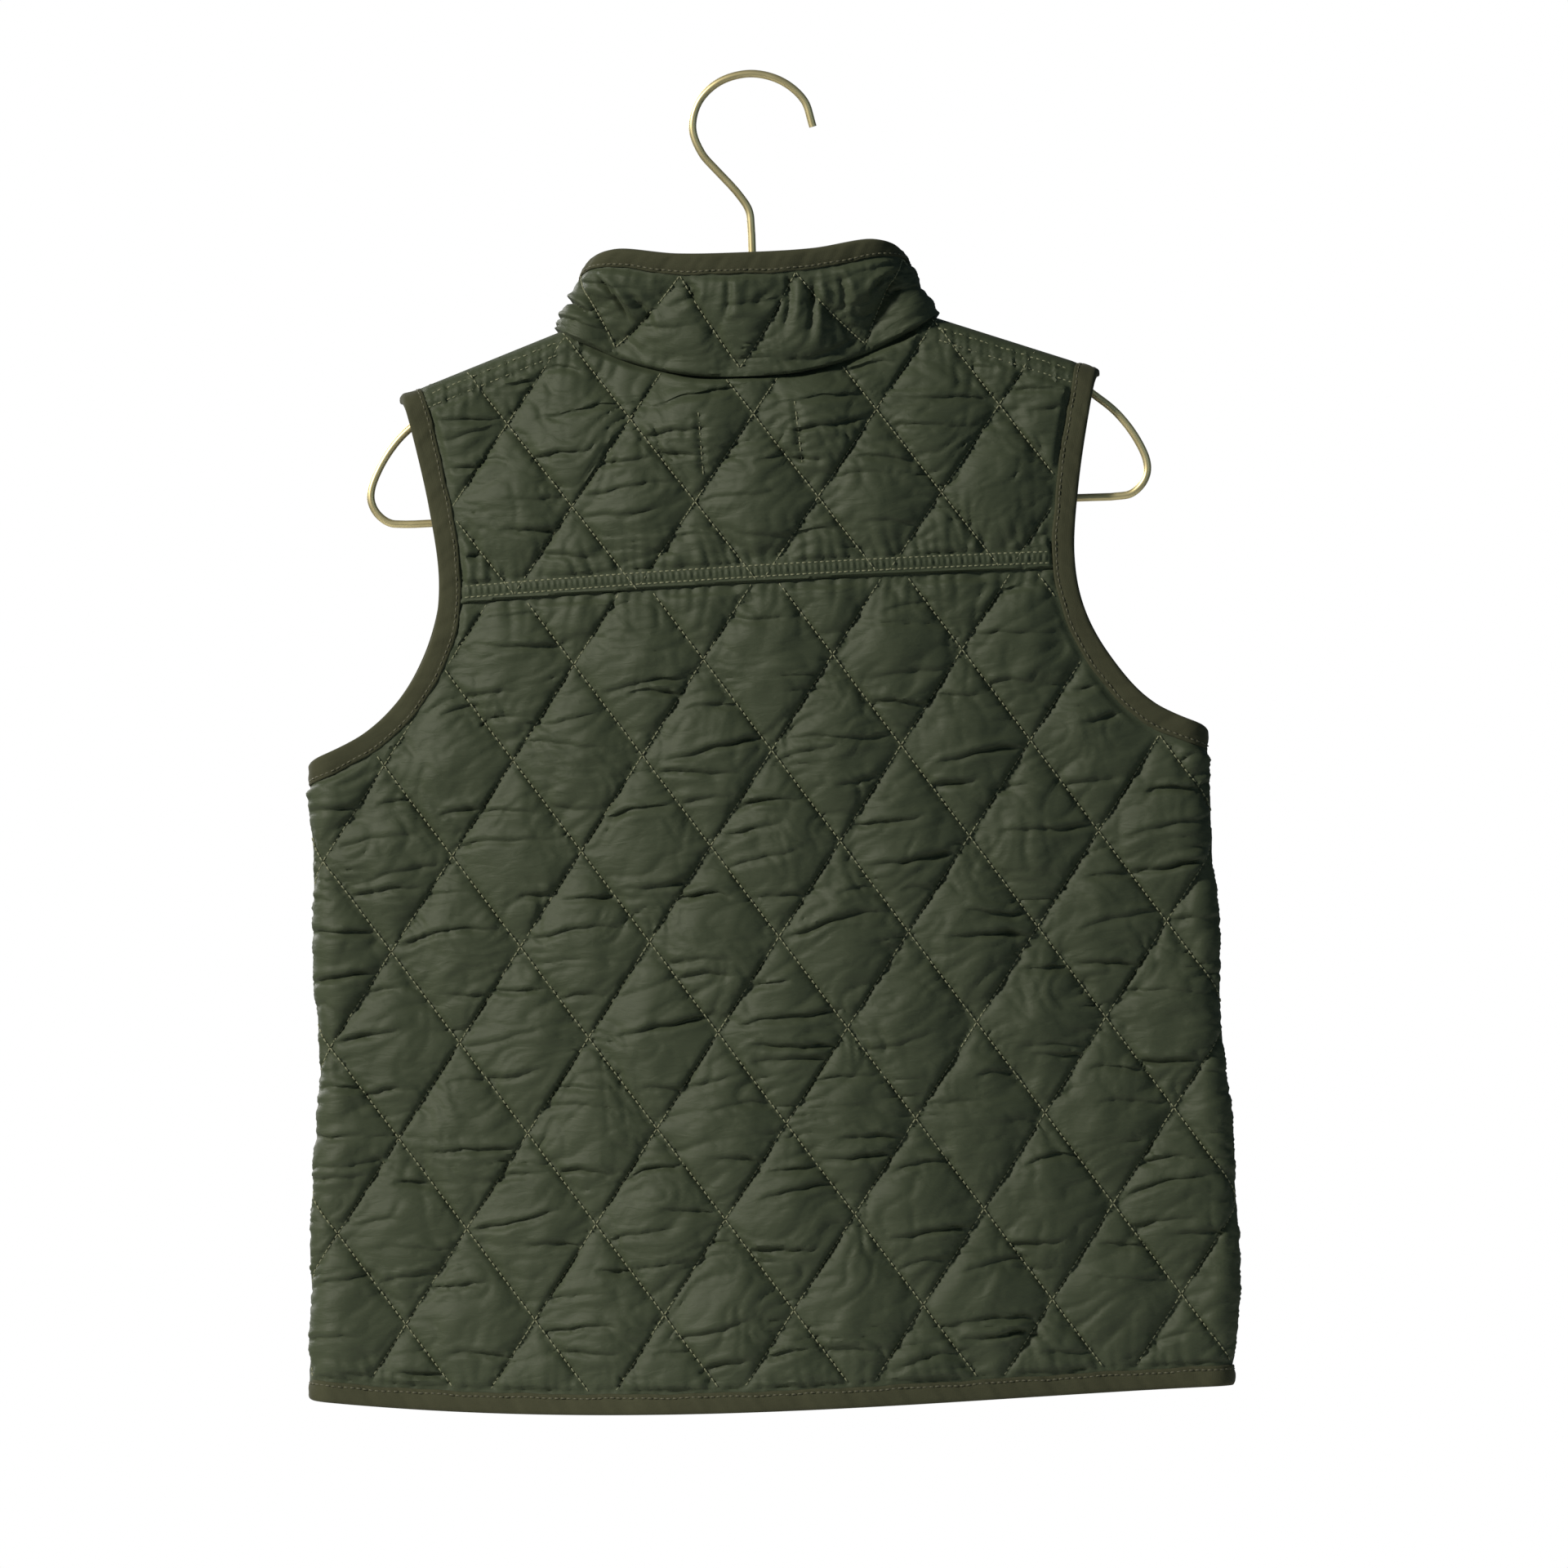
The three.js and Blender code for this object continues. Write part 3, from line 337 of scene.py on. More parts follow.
# How wide and high the crumples of each size are, their depth, and the seed that they add
CRUMPLES = ((22, 12, 1.0, 5), (15, 7.5, 1.0, 2), (8.5, 4.6, 0.5, 3), (6.5, 11, 0.35, 4))
STITCH_RISE = 0.05
STITCHES_PER_EDGE = 19
PANEL_QUILT = {"width": 49.6, "height": 71.5, "x": 0, "z": -330, "lean": 1, "cloth": CLOTH, "creased": 1.0}


def line_counts(quilt, p, q):
    across = (p + quilt["lean"] * lean(q) - quilt["x"]) / quilt["width"]
    up = (q - quilt["z"]) / quilt["height"]
    return across + up, across - up


def from_counts(quilt, s, u):
    q = quilt["z"] + quilt["height"] * (s - u) / 2
    return quilt["x"] + quilt["width"] * (s + u) / 2 - quilt["lean"] * lean(q), q


def cell_edge(quilt):
    return math.hypot(quilt["width"], quilt["height"]) / 2


def line_spacing(quilt):
    return quilt["width"] * quilt["height"] / 2 / cell_edge(quilt)


def corner_counts(quilt, box):
    (left, low), (right, high) = box
    return line_counts(quilt, np.array([left, right, left, right]), np.array([low, low, high, high]))


def lattice(quilt, steps, box):
    """Flat points on a grid whose lines run along the stitch lines."""
    (left, low), (right, high) = box
    s, u = np.meshgrid(*(
        np.arange(math.floor(counts.min()) * steps, math.ceil(counts.max()) * steps)
        for counts in corner_counts(quilt, box)
    ))
    p, q = from_counts(quilt, s.ravel() / steps, u.ravel() / steps)
    held = (p > left) & (p < right) & (q > low) & (q < high)
    return pairs(p[held], q[held])


def crease_table(quilt, box, seed):
    """Up to four creases across each diamond: centre, level, half length, slope, arch, depth, held end."""
    (left, low), (right, high) = box
    rng = np.random.default_rng(seed)
    rows = []
    for i in range(-22, 23):
        for j in range(-22, 23):
            p, q = from_counts(quilt, i + 0.5, j + 0.5)
            draws = rng.random((4, 7))
            if not (left < p < right and low < q < high):
                continue
            for (place, weight, chance), draw in zip(CREASES, draws):
                if draw[0] > chance:
                    continue
                rise = place + 0.24 * (draw[1] - 0.5)
                room = quilt["width"] / 2 * (1 - abs(rise))
                half = room * (0.5 + 0.46 * draw[2] ** 0.7)
                held = 1 if draw[3] > 0.5 else -1
                centre, level = p + held * (room - half), q + rise * quilt["height"] / 2
                slope, arch = 0.36 * (draw[4] - 0.36), 3.0 * (draw[5] - 0.32)
                depth = weight * quilt["creased"] * (1.35 + 2.1 * draw[6] ** 1.2)
                rows.append((centre, level, half, slope, arch, depth, held))
    return rows


def crease_line(row, p):
    centre, level, half, slope, arch = row[:5]
    along = (p - centre) / half
    wander = 0.4 * np.sin(along * 4.1 + level) + 0.22 * np.sin(along * 9.3 + centre)
    return level + slope * half * along + arch * (1 - along**2) + wander * half / 18


def crease_points(table):
    """Flat points in three rows along every crease, so that its valley stays crisp."""
    rows = []
    for row in table:
        p = np.arange(row[0] - 1.05 * row[2], row[0] + 1.05 * row[2], 1.15)
        rows += [pairs(p, crease_line(row, p) + off) for off in (0.8, 0.25, -0.45)]
    return np.vstack(rows)


def beside_creases(points, table):
    """Every crease with the points near it, their share of its half length, and how far above it they are."""
    order = np.argsort(points[:, 1])
    levels = points[order, 1]
    for row in table:
        near = order[np.searchsorted(levels, row[1] - 12):np.searchsorted(levels, row[1] + 12)]
        along = (points[near, 0] - row[0]) / row[2]
        near, along = near[np.abs(along) < 1.2], along[np.abs(along) < 1.2]
        yield row, near, along, points[near, 1] - crease_line(row, points[near, 0])


def creased(points, table):
    """How far the creases draw the cloth down, and the soft rolls that stand beside each."""
    depth = np.zeros(len(points))
    roll = np.zeros(len(points))
    for row, near, along, off in beside_creases(points, table):
        deep = row[5] * ease((1.12 - np.abs(along)) * 2.4) * (0.66 + 0.34 * row[6] * along)
        valley = np.where(off > 0, bell(off, 0.62), bell(off, 1.5))
        np.maximum.at(depth, near, deep * valley)
        roll[near] += 0.42 * deep * bell(off - 2.3, 1.6)
        roll[near] += 0.16 * deep * bell(off + 3.0, 1.4)
    return depth, roll


def unevenness(points, seed):
    """Slow swells of the wadding, from a few crossed waves."""
    rng = np.random.default_rng(seed)
    total = np.zeros(len(points))
    for _ in range(9):
        angle, phase = rng.random(2) * 2 * math.pi
        length = 13 + 26 * rng.random()
        reach = points[:, 0] * math.cos(angle) + points[:, 1] * math.sin(angle)
        total += np.sin(2 * math.pi * reach / length + phase)
    return total / 9


def scattered(x, y, seed):
    """A smooth random surface, from 0 to 1, over a grid of unit cells."""
    table = np.random.default_rng(seed).random((64, 64))
    i, j = np.floor(x).astype(int), np.floor(y).astype(int)
    part_x, part_y = ease(x - i), ease(y - j)
    low = table[i % 64, j % 64] * (1 - part_x) + table[(i + 1) % 64, j % 64] * part_x
    high = table[i % 64, (j + 1) % 64] * (1 - part_x) + table[(i + 1) % 64, (j + 1) % 64] * part_x
    return low * (1 - part_y) + high * part_y


def crumpled(points, seed):
    """Small crossing creases of crisp nylon, mostly lying level."""
    p, q = points.T
    drift = 3 * scattered(p / 23, q / 17, seed + 1)
    total = np.zeros(len(points))
    for across, up, weight, turn in CRUMPLES:
        field = scattered(p / across + drift, q / up - 0.16 * p / up + drift, seed + turn)
        ridge = 1 - np.abs(2 * field - 1)
        total -= weight * (ridge**5 - 0.2)
    return total


def level_tucks(points, seed):
    """Short level tucks drawn in by the stitches."""
    p, q = points.T
    return scattered(p / 7 + 5, q / 2.3 + 0.1 * p, seed + 7) - 0.5


def puckered(along, away, height, seed, reach, waves):
    """Short gathers that run away from a seam; along and away are measured from it."""
    rng = np.random.default_rng(seed)
    wave = np.zeros(len(along))
    for length in waves:
        drift = 1.6 * np.sin(along / 17 + length) + 0.5 * np.sin(away / 4.3 + along / 9)
        wave += np.sin(2 * math.pi * (along + 0.12 * away) / length + rng.random() * 7 + drift)
    sharp = 1.15 * np.abs(wave / 2.4) ** 0.6 - 0.75
    return height * (sharp * np.exp(-np.maximum(away, 0) / reach) * ease(away / 0.8))


def quilted(quilt, points, edge, seed, creases):
    """Height of the outer side of a quilted piece over its inner side."""
    within, away = inside(edge, points)
    away = np.where(within, away, 0)
    s, u = line_counts(quilt, points[:, 0], points[:, 1])
    fuller = PUFF_FULLNESS + 0.34 * (0.5 - (u - np.floor(u)))
    hill = np.abs(np.sin(math.pi * s)) ** PUFF_FULLNESS * np.abs(np.sin(math.pi * u)) ** fuller
    full = PUFF * (EDGE_PUFF + (1 - EDGE_PUFF) * ease(away / EDGE_REACH)) * ease(away / 2)
    depth, roll = creased(points, creases)
    near_line, notch = 1e9, 0
    for line, along in ((s, u), (u, s)):
        off = np.abs(line - np.round(line)) * line_spacing(quilt)
        near_line = np.minimum(near_line, off)
        between_stitches = 0.5 + 0.5 * np.cos(2 * math.pi * along * STITCHES_PER_EDGE)
        notch = notch + bell(off, NOTCH_RADIUS) * between_stitches
    drawn = np.exp(-near_line / 5.5) * ease(near_line / 1.0)
    crinkle = crumpled(points, seed) * (0.5 + 0.75 * drawn) + 0.5 * level_tucks(points, seed) * drawn
    height = full * hill * (1 + PUFF_UNEVEN * unevenness(points, seed))
    height = height + hill**CREASED_HILL * ease(away / 5) * (roll - depth)
    height = height + crinkle * ease(away / 3) * ease(near_line / 1.2)
    sunk = NOTCH_DEPTH * np.minimum(notch, 1) * ease(away / 2)
    return quilt["cloth"] + STITCH_RISE + np.maximum(height, LOWEST) - sunk


def meshed(name, points, faces, flat=None):
    """A mesh; flat holds each point's place on the cut cloth, which the weave follows."""
    mesh = bpy.data.meshes.new(name)
    mesh.from_pydata(points.reshape(-1, 3).tolist(), [], faces)
    mesh.validate()
    if flat is not None:
        corners = np.empty(len(mesh.loops), np.int32)
        mesh.loops.foreach_get("vertex_index", corners)
        mesh.uv_layers.new(name="cut").data.foreach_set("uv", flat[corners].ravel())
    return mesh


def cloth_mesh(name, edge, grid, heights, place, plain_grid):
    """A closed wall of cloth: a fine outer side, a plain inner side, and the cut edge between them."""
    count = len(edge)
    loops = [(i, (i + 1) % count) for i in range(count)]

    def filled(extra):
        flat = [Vector(point) for point in np.vstack([edge, extra]).tolist()]
        points, _, faces, origin, _, _ = geometry.delaunay_2d_cdt(flat, loops, [], 1, 1e-5)
        vertex_of = {source: vertex for vertex, sources in enumerate(origin) for source in sources}
        return np.array([list(point) for point in points]), faces, vertex_of

    outer, outer_faces, outer_place = filled(grid)
    inner, inner_faces, inner_place = filled(plain_grid)
    top = place(outer[:, 0], outer[:, 1], heights(outer))
    bottom = place(inner[:, 0], inner[:, 1], np.zeros(len(inner)))
    shift = len(outer)
    faces = outer_faces + [[vertex + shift for vertex in face[::-1]] for face in inner_faces]
    faces += [
        [outer_place[b], outer_place[a], inner_place[a] + shift, inner_place[b] + shift] for a, b in loops
    ]
    return meshed(name, np.vstack([top, bottom]), faces, np.vstack([outer, inner]) * MM)


def stood(name, mesh, material, sharp=55):
    piece = bpy.data.objects.new(name, mesh)
    bpy.context.scene.collection.objects.link(piece)
    bpy.ops.object.select_all(action="DESELECT")
    bpy.context.view_layer.objects.active = piece
    piece.select_set(True)
    bpy.ops.object.mode_set(mode="EDIT")
    bpy.ops.mesh.select_all(action="SELECT")
    bpy.ops.mesh.normals_make_consistent(inside=False)
    bpy.ops.object.mode_set(mode="OBJECT")
    bpy.ops.object.shade_smooth_by_angle(angle=math.radians(sharp))
    mesh.materials.append(material)
    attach(piece, "vest")
    return piece


# Nylon taffeta: a close weave with a soft sheen, a little uneven in tone
def weave_group():
    group = bpy.data.node_groups.new("cloth_weave", "ShaderNodeTree")
    for name, way, kind in (
        ("Scale", "INPUT", "Float"), ("Crinkle", "INPUT", "Float"),
        ("Tone", "OUTPUT", "Float"), ("Normal", "OUTPUT", "Vector"),
    ):
        group.interface.new_socket(name=name, in_out=way, socket_type="NodeSocket" + kind)
    nodes, links = group.nodes, group.links
    given, given_out = nodes.new("NodeGroupInput"), nodes.new("NodeGroupOutput")
    where = nodes.new("ShaderNodeUVMap")
    where.uv_map = "cut"
    crossed = nodes.new("ShaderNodeMath")
    crossed.operation = "MULTIPLY"
    for side, direction in enumerate(("X", "Y")):
        wave = set_to(nodes.new("ShaderNodeTexWave"), Distortion=0.6, Detail=1.0)
        wave.bands_direction = direction
        links.new(where.outputs["UV"], wave.inputs["Vector"])
        links.new(given.outputs["Scale"], wave.inputs["Scale"])
        links.new(wave.outputs["Fac"], crossed.inputs[side])
    wrinkle_size = nodes.new("ShaderNodeVectorMath")
    wrinkle_size.operation = "MULTIPLY"
    wrinkle_size.inputs[1].default_value = (110, 300, 0)
    wrinkle = set_to(nodes.new("ShaderNodeTexNoise"), Scale=1, Detail=3, Distortion=0.8)
    cloud = set_to(nodes.new("ShaderNodeTexNoise"), Scale=60, Detail=5)
    rough_bump = set_to(nodes.new("ShaderNodeBump"), Distance=0.0007)
    fine_bump = set_to(nodes.new("ShaderNodeBump"), Strength=0.35, Distance=0.0001)
    links.new(where.outputs["UV"], wrinkle_size.inputs[0])
    links.new(where.outputs["UV"], cloud.inputs["Vector"])
    links.new(wrinkle_size.outputs["Vector"], wrinkle.inputs["Vector"])
    links.new(given.outputs["Crinkle"], rough_bump.inputs["Strength"])
    links.new(wrinkle.outputs["Fac"], rough_bump.inputs["Height"])
    links.new(crossed.outputs["Value"], fine_bump.inputs["Height"])
    links.new(rough_bump.outputs["Normal"], fine_bump.inputs["Normal"])
    links.new(fine_bump.outputs["Normal"], given_out.inputs["Normal"])
    links.new(cloud.outputs["Fac"], given_out.inputs["Tone"])
    return group


cloth_weave = weave_group()


def toned(name, dark, light):
    """A material between two tones, with its nodes, links, shader and the socket that picks the tone."""
    material = bpy.data.materials.new(name)
    material.use_nodes = True
    nodes, links = material.node_tree.nodes, material.node_tree.links
    skin = nodes["Principled BSDF"]
    tone = nodes.new("ShaderNodeMix")
    tone.data_type = "RGBA"
    set_to(tone, A=(*dark, 1), B=(*light, 1))
    links.new(tone.outputs["Result"], skin.inputs["Base Color"])
    return material, nodes, links, skin, tone.inputs["Factor"]


def cloth_material(name, dark, light, scale, roughness, crinkle, sheen):
    material, nodes, links, skin, tone = toned(name, dark, light)
    set_to(skin, Roughness=roughness, Specular_IOR_Level=0.28, Sheen_Weight=sheen, Sheen_Roughness=0.4)
    weave = nodes.new("ShaderNodeGroup")
    weave.node_tree = cloth_weave
    set_to(weave, Scale=scale, Crinkle=crinkle)
    links.new(weave.outputs["Tone"], tone)
    links.new(weave.outputs["Normal"], skin.inputs["Normal"])
    return material


taffeta = cloth_material(
    "olive_taffeta", (0.047, 0.06, 0.033), (0.064, 0.079, 0.046), scale=1100, roughness=0.55, crinkle=0.55,
    sheen=0.03,
)

BINDING_WALL = 1.0
ARMHOLE_BINDING = 8.5
SEAM_PLAIN = 2.5
SEAM_GAP = 0.004
PANEL_EDGE = {"sewn": SEAM_GAP, "shoulder": SEAM_GAP, "bound": BINDING_WALL + GAP}
QUILT_EDGE = {"sewn": 1.0, "shoulder": SEAM_PLAIN, "bound": ARMHOLE_BINDING + 0.7}
STITCH_EDGE = {"sewn": 0.2, "shoulder": 2.4, "bound": ARMHOLE_BINDING + 0.2}
SEAM_STITCHED = 0.2
FINE_STEPS = 38
PLAIN_STEPS = 5
FINE_MARGIN = 0.45
PLAIN_MARGIN = 2.0
STITCH_MARGIN = 0.9
# How far the stitches of the two directions stand above the cloth, each with its line's slope
LINE_LEVELS = ((-1, 0.12), (1, -0.2))


def clear_of(edge, grid, margin):
    within, away = inside(edge, grid)
    return grid[within & (away > margin)]


def quilted_piece(name, node, edges, quilt, place, seed, shaped, finer=None):
    """Makes one quilted piece from where it ends, puffs up and is stitched, and gives back its heights."""
    edge, quilt_edge, stitch_edge = edges
    box = (edge.min(axis=0), edge.max(axis=0))
    creases = crease_table(quilt, box, seed)
    grid = lattice(quilt, FINE_STEPS, box)
    clear = np.ones(len(grid), bool)
    for _, near, along, off in beside_creases(grid, creases):
        clear[near[(np.abs(along) < 1.08) & (off < 1.3) & (off > -1.0)]] = False
    grid = np.vstack([grid[clear], crease_points(creases)])
    if finer:
        rows, among_rows = finer
        grid = np.vstack([grid[~among_rows(grid)], rows])
    grid = clear_of(edge, grid, FINE_MARGIN)
    plain = clear_of(edge, lattice(quilt, PLAIN_STEPS, box), PLAIN_MARGIN)

    def heights(points):
        return quilted(quilt, points, quilt_edge, seed, creases) + shaped(points)

    piece = stood(name, cloth_mesh(name, edge, grid, heights, place, plain), taffeta)
    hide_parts(node)
    quilt_stitches(name + "_quilting", quilt, stitch_edge, place, shaped)
    return heights


STITCH_HALF = 0.92
STITCH_THICK = 0.31
STITCH_AROUND = 5
STITCH_PITCH = 2.3


def tube(count, around, closed=False):
    """Faces of a wall round rings of points, with a cap at both ends unless it closes on itself."""
    faces = []
    for ring in range(count if closed else count - 1):
        low, high = ring * around, (ring + 1) % count * around
        for corner in range(around):
            beyond = (corner + 1) % around
            faces.append((low + corner, low + beyond, high + beyond, high + corner))
    if not closed:
        faces += [tuple(range(around))[::-1], tuple(range((count - 1) * around, count * around))]
    return faces


def stitched(name, rows, thread):
    """One short rounded thread for every stitch: centre, direction and outward normal, in metres."""
    ends = np.array([-1.0, -0.72, 0.72, 1.0]) * STITCH_HALF
    fat = np.array([0.35, 1.0, 1.0, 0.35]) * STITCH_THICK
    sink = np.array([-0.3, 0.0, 0.0, -0.3])
    around = np.arange(STITCH_AROUND) * 2 * math.pi / STITCH_AROUND
    template = [(e, f * math.cos(a), f * math.sin(a) + d) for e, f, d in zip(ends, fat, sink) for a in around]
    template = np.array(template) * MM
    centre, run, out = (np.asarray(column, float) for column in rows)
    run, out = unit(run), unit(out)
    points = centre[:, None, :] + template[None, :, 0, None] * run[:, None, :]
    points = points + template[None, :, 1, None] * np.cross(out, run)[:, None, :]
    points = points + template[None, :, 2, None] * out[:, None, :]
    count, faces = len(template), tube(len(ends), STITCH_AROUND)
    every = [
        tuple(vertex + stitch * count for vertex in face) for stitch in range(len(centre)) for face in faces
    ]
    stood(name, meshed(name, points, every), thread, sharp=80)


def stitches_along(paths, pitch=STITCH_PITCH):
    """Centre, run and outward normal of stitches along paths of places and outward normals."""
    rows = []
    for path, out in paths:
        even = resampled(np.hstack([path, out]), pitch * MM)
        middle = (even[1:] + even[:-1]) / 2
        rows.append((middle[:, :3], even[1:, :3] - even[:-1, :3], middle[:, 3:]))
    return [np.vstack(column) for column in zip(*rows)]


def path_on(place, points, heights):
    """A path of places and outward normals above flat points."""
    base = place(points[:, 0], points[:, 1], heights)
    return base, place(points[:, 0], points[:, 1], heights + 1.0) - base


def quilt_stitches(name, quilt, edge, place, shaped):
    s0, u0 = corner_counts(quilt, (edge.min(axis=0), edge.max(axis=0)))
    lowest, highest = math.floor(min(s0.min(), u0.min())), math.ceil(max(s0.max(), u0.max()))
    lines = np.arange(lowest, highest + 1)
    middles = (np.arange(lowest * STITCHES_PER_EDGE, highest * STITCHES_PER_EDGE) + 0.5) / STITCHES_PER_EDGE
    line, middle = (grid.ravel().astype(float) for grid in np.meshgrid(lines, middles))
    rows = []
    for (s, u), (turn, level) in zip(((line, middle), (middle, line)), LINE_LEVELS):
        points = clear_of(edge, pairs(*from_counts(quilt, s, u)), STITCH_MARGIN)
        step = np.array([quilt["width"], turn * quilt["height"]]) / cell_edge(quilt) / 4
        height = quilt["cloth"] + STITCH_RISE + level + shaped(points)
        base, out = path_on(place, points, height)
        rows.append((base, path_on(place, points + step, height)[0] - base, out))
    stitched(name, [np.vstack(column) for column in zip(*rows)], sewing_thread)


def thread_material(name, dark, light):
    material, nodes, links, skin, tone = toned(name, dark, light)
    set_to(skin, Roughness=0.6)
    where = nodes.new("ShaderNodeTexCoord")
    twist = set_to(nodes.new("ShaderNodeTexNoise"), Scale=900)
    links.new(where.outputs["Object"], twist.inputs["Vector"])
    links.new(twist.outputs["Fac"], tone)
    return material


sewing_thread = thread_material("olive_thread", (0.15, 0.16, 0.095), (0.29, 0.3, 0.19))


def edges_of(points, kinds):
    """Where the cloth of an outline ends, where it puffs up and where its quilting is stitched."""
    return [inset(points, kinds, widths) for widths in (PANEL_EDGE, QUILT_EDGE, STITCH_EDGE)]


back_outline, back_kinds = outline(BACK_NECK, 0, 0)
back_cut, back_quilt, back_sewn = edges_of(back_outline, back_kinds)


def beyond_yoke(edge, side, off):
    """Keeps what lies above the yoke seam, or below it where side is -1, to a distance off from it."""
    def seam(p):
        return yoke_seam(p) + side * off

    return cut(edge, lambda at: side * (at[:, 1] - seam(at[:, 0])), lambda at: (at[0], seam(at[0])))


SIDE_GATHERS = {"height": 0.5, "reach": 12, "waves": (7.3, 11.3, 17.1, 23)}
HEM_GATHERS = {"height": 1.3, "reach": 6, "waves": (8.7, 13.9, 23)}
HEM_PLAIN = 8.5
SEAM_FOOT_GATHERS = {"height": 1.7, "seed": 31, "reach": 8, "waves": (9.1, 14.3, 21)}
SEAM_TUCK = {"deep": 0.6, "wide": 1.3}


def side_gathers(points, seed):
    """Level tucks that run in from the side seams, and the scallops that the quilting leaves there."""
    p, q = points.T
    away = half_width(q) - np.abs(p)
    below = ease((UNDERARM_Z - q) / 10)
    scallop = np.abs(np.sin(math.pi * (q - PANEL_QUILT["z"]) / PANEL_QUILT["height"] * 2)) ** 0.8 - 0.4
    slow = scattered(q / 11, (p > 0) * 9.0, 91) - 0.5
    edge_wave = (0.7 * scallop + 1.0 * slow) * np.exp(-np.maximum(away, 0) / 7)
    return below * (edge_wave + puckered(q, away, seed=seed, **SIDE_GATHERS))


def hem_gathers(points, shift, seed):
    over = points[:, 1] - hem(points[:, 0]) - HEM_PLAIN
    return puckered(points[:, 0] + shift, over, seed=seed, **HEM_GATHERS)


def lower_gathers(points):
    under = yoke_seam(points[:, 0]) - GAP - points[:, 1]
    top = puckered(points[:, 0], under, **SEAM_FOOT_GATHERS)
    tucked = -SEAM_TUCK["deep"] * bell(under, SEAM_TUCK["wide"])
    return top + tucked + hem_gathers(points, 40, 32) + side_gathers(points, 33)


lower_edges = [
    beyond_yoke(edge, -1, off)
    for edge, off in ((back_cut, SEAM_GAP), (back_quilt, SEAM_PLAIN), (back_sewn, SEAM_STITCHED))
]
quilted_piece("lower_back", "back_panel", lower_edges, PANEL_QUILT, back, 5, lower_gathers)

# Yoke
# The piece across the shoulders, quilted on its own lines. Its lower edge is turned under and sewn down
# with two rows that gather it; two more rows hold the shoulder seams, and two short ones show between.
YOKE_QUILT = {"width": 47.2, "height": 65.4, "x": -2, "z": -129.5, "lean": 1, "cloth": CLOTH, "creased": 0.9}
YOKE_BAND = 7.0
YOKE_BAND_RAISE = 1.15
SHOULDER_BAND = 12.0
SHOULDER_BAND_RAISE = 0.6
YOKE_ROWS = (2.0, 6.3)
SHOULDER_ROWS = (3.0, 7.5)
SHORT_ROWS = [[(-20, -128), (-19, -152)], [(17, -125), (19, -149)]]
YOKE_ROW_LEVELS = (0.06, -0.06)
SHOULDER_ROW_LEVEL = -0.12
SHORT_ROW_LEVEL = 0.05
YOKE_GATHERS = {"height": 1.8, "seed": 41, "reach": 8, "waves": (8.3, 12.7, 19)}
SHOULDER_GATHERS = {"height": 1.0, "seed": 42, "reach": 6, "waves": (7.9, 12.1, 17)}
SHOULDER_PLAIN = 8.4
YOKE_EDGE = {"sewn": 1.0, "shoulder": SHOULDER_BAND, "bound": ARMHOLE_BINDING + 0.7}


def clear_of_binding(points):
    """One on the open cloth, falling to nothing under the armhole bindings."""
    free = inset(back_outline, back_kinds, {"sewn": -20, "shoulder": -20, "bound": ARMHOLE_BINDING + 0.2})
    within, away = inside(free, points)
    return np.where(within, ease(away / 1.2), 0)


def below_shoulder(p, q):
    return (shoulder(p) + SEAM_OVER - q) / SHOULDER_SLANT


def yoke_shape(points):
    p, q = points.T
    over = q - yoke_seam(p) - GAP / 2
    under = below_shoulder(p, q) - SEAM_OVER
    flap = YOKE_BAND_RAISE * ease((over + 0.3) / 0.7) * (1 - ease((over - YOKE_BAND + 0.5) / 1.4))
    rows = sum(bell(over - row, 0.75) for row in YOKE_ROWS)
    pinch = np.cos(2 * math.pi * p / STITCH_PITCH + 0.8 * np.sin(p / 6.1))
    pinch = pinch + 0.5 * np.cos(2 * math.pi * p / 3.7)
    middle = bell(over - sum(YOKE_ROWS) / 2, 1.9)
    open_cloth = clear_of_binding(points)
    band = flap * open_cloth * (1 + 0.27 * pinch * middle) - 0.6 * rows * (0.75 + 0.25 * pinch)
    above = puckered(p, over - YOKE_BAND, **YOKE_GATHERS)
    top = SHOULDER_BAND_RAISE * open_cloth * (1 - ease((under - 8.0) / 1.4))
    rows = sum(bell(under - row, 0.9) for row in SHOULDER_ROWS)
    rows = rows * (0.8 + 0.45 * np.cos(2 * math.pi * p / 3.3 + np.sin(p / 4)))
    ripple = np.cos(2 * math.pi * p / 2.6 + np.sin(p / 5)) + 0.8 * np.cos(2 * math.pi * p / 5.9)
    on_band = ease((under - 1) / 2) * (1 - ease((under - SHOULDER_PLAIN) / 1.4))
    gathers = puckered(p, under - SHOULDER_PLAIN, **SHOULDER_GATHERS)
    ridge = top - 0.75 * rows + 0.3 * ripple * on_band + gathers
    sunk, drawn_in = 0, 0
    for (top_p, top_q), (low_p, low_q) in SHORT_ROWS:
        line = top_p + (low_p - top_p) * (q - top_q) / (low_q - top_q)
        held = ease((q - low_q) / 1.5) * ease((top_q - q) / 1.5)
        sunk = sunk + held * bell(p - line, 1.5) * (0.75 + 0.25 * np.cos(2 * math.pi * q / 2.4))
        tuck = np.cos(2 * math.pi * (q - 0.3 * np.abs(p - line)) / 4.1) + 0.6 * np.cos(2 * math.pi * q / 2.7)
        drawn_in = drawn_in + held * tuck * np.exp(-np.abs(p - line) / 4.5) * ease(np.abs(p - line) / 1.4)
    _, from_edge = inside(back_cut, points)
    at_neck = bell(from_edge, 1.5) * ease((NECK_HALF - 2 - np.abs(p)) / 3) * ease((over - 12) / 4)
    return band + above + ridge - 1.7 * sunk + 0.5 * drawn_in - 1.0 * at_neck


def among_band_rows(points):
    over = points[:, 1] - yoke_seam(points[:, 0]) - GAP / 2
    return (over > 1.2) & (over < 7.2)


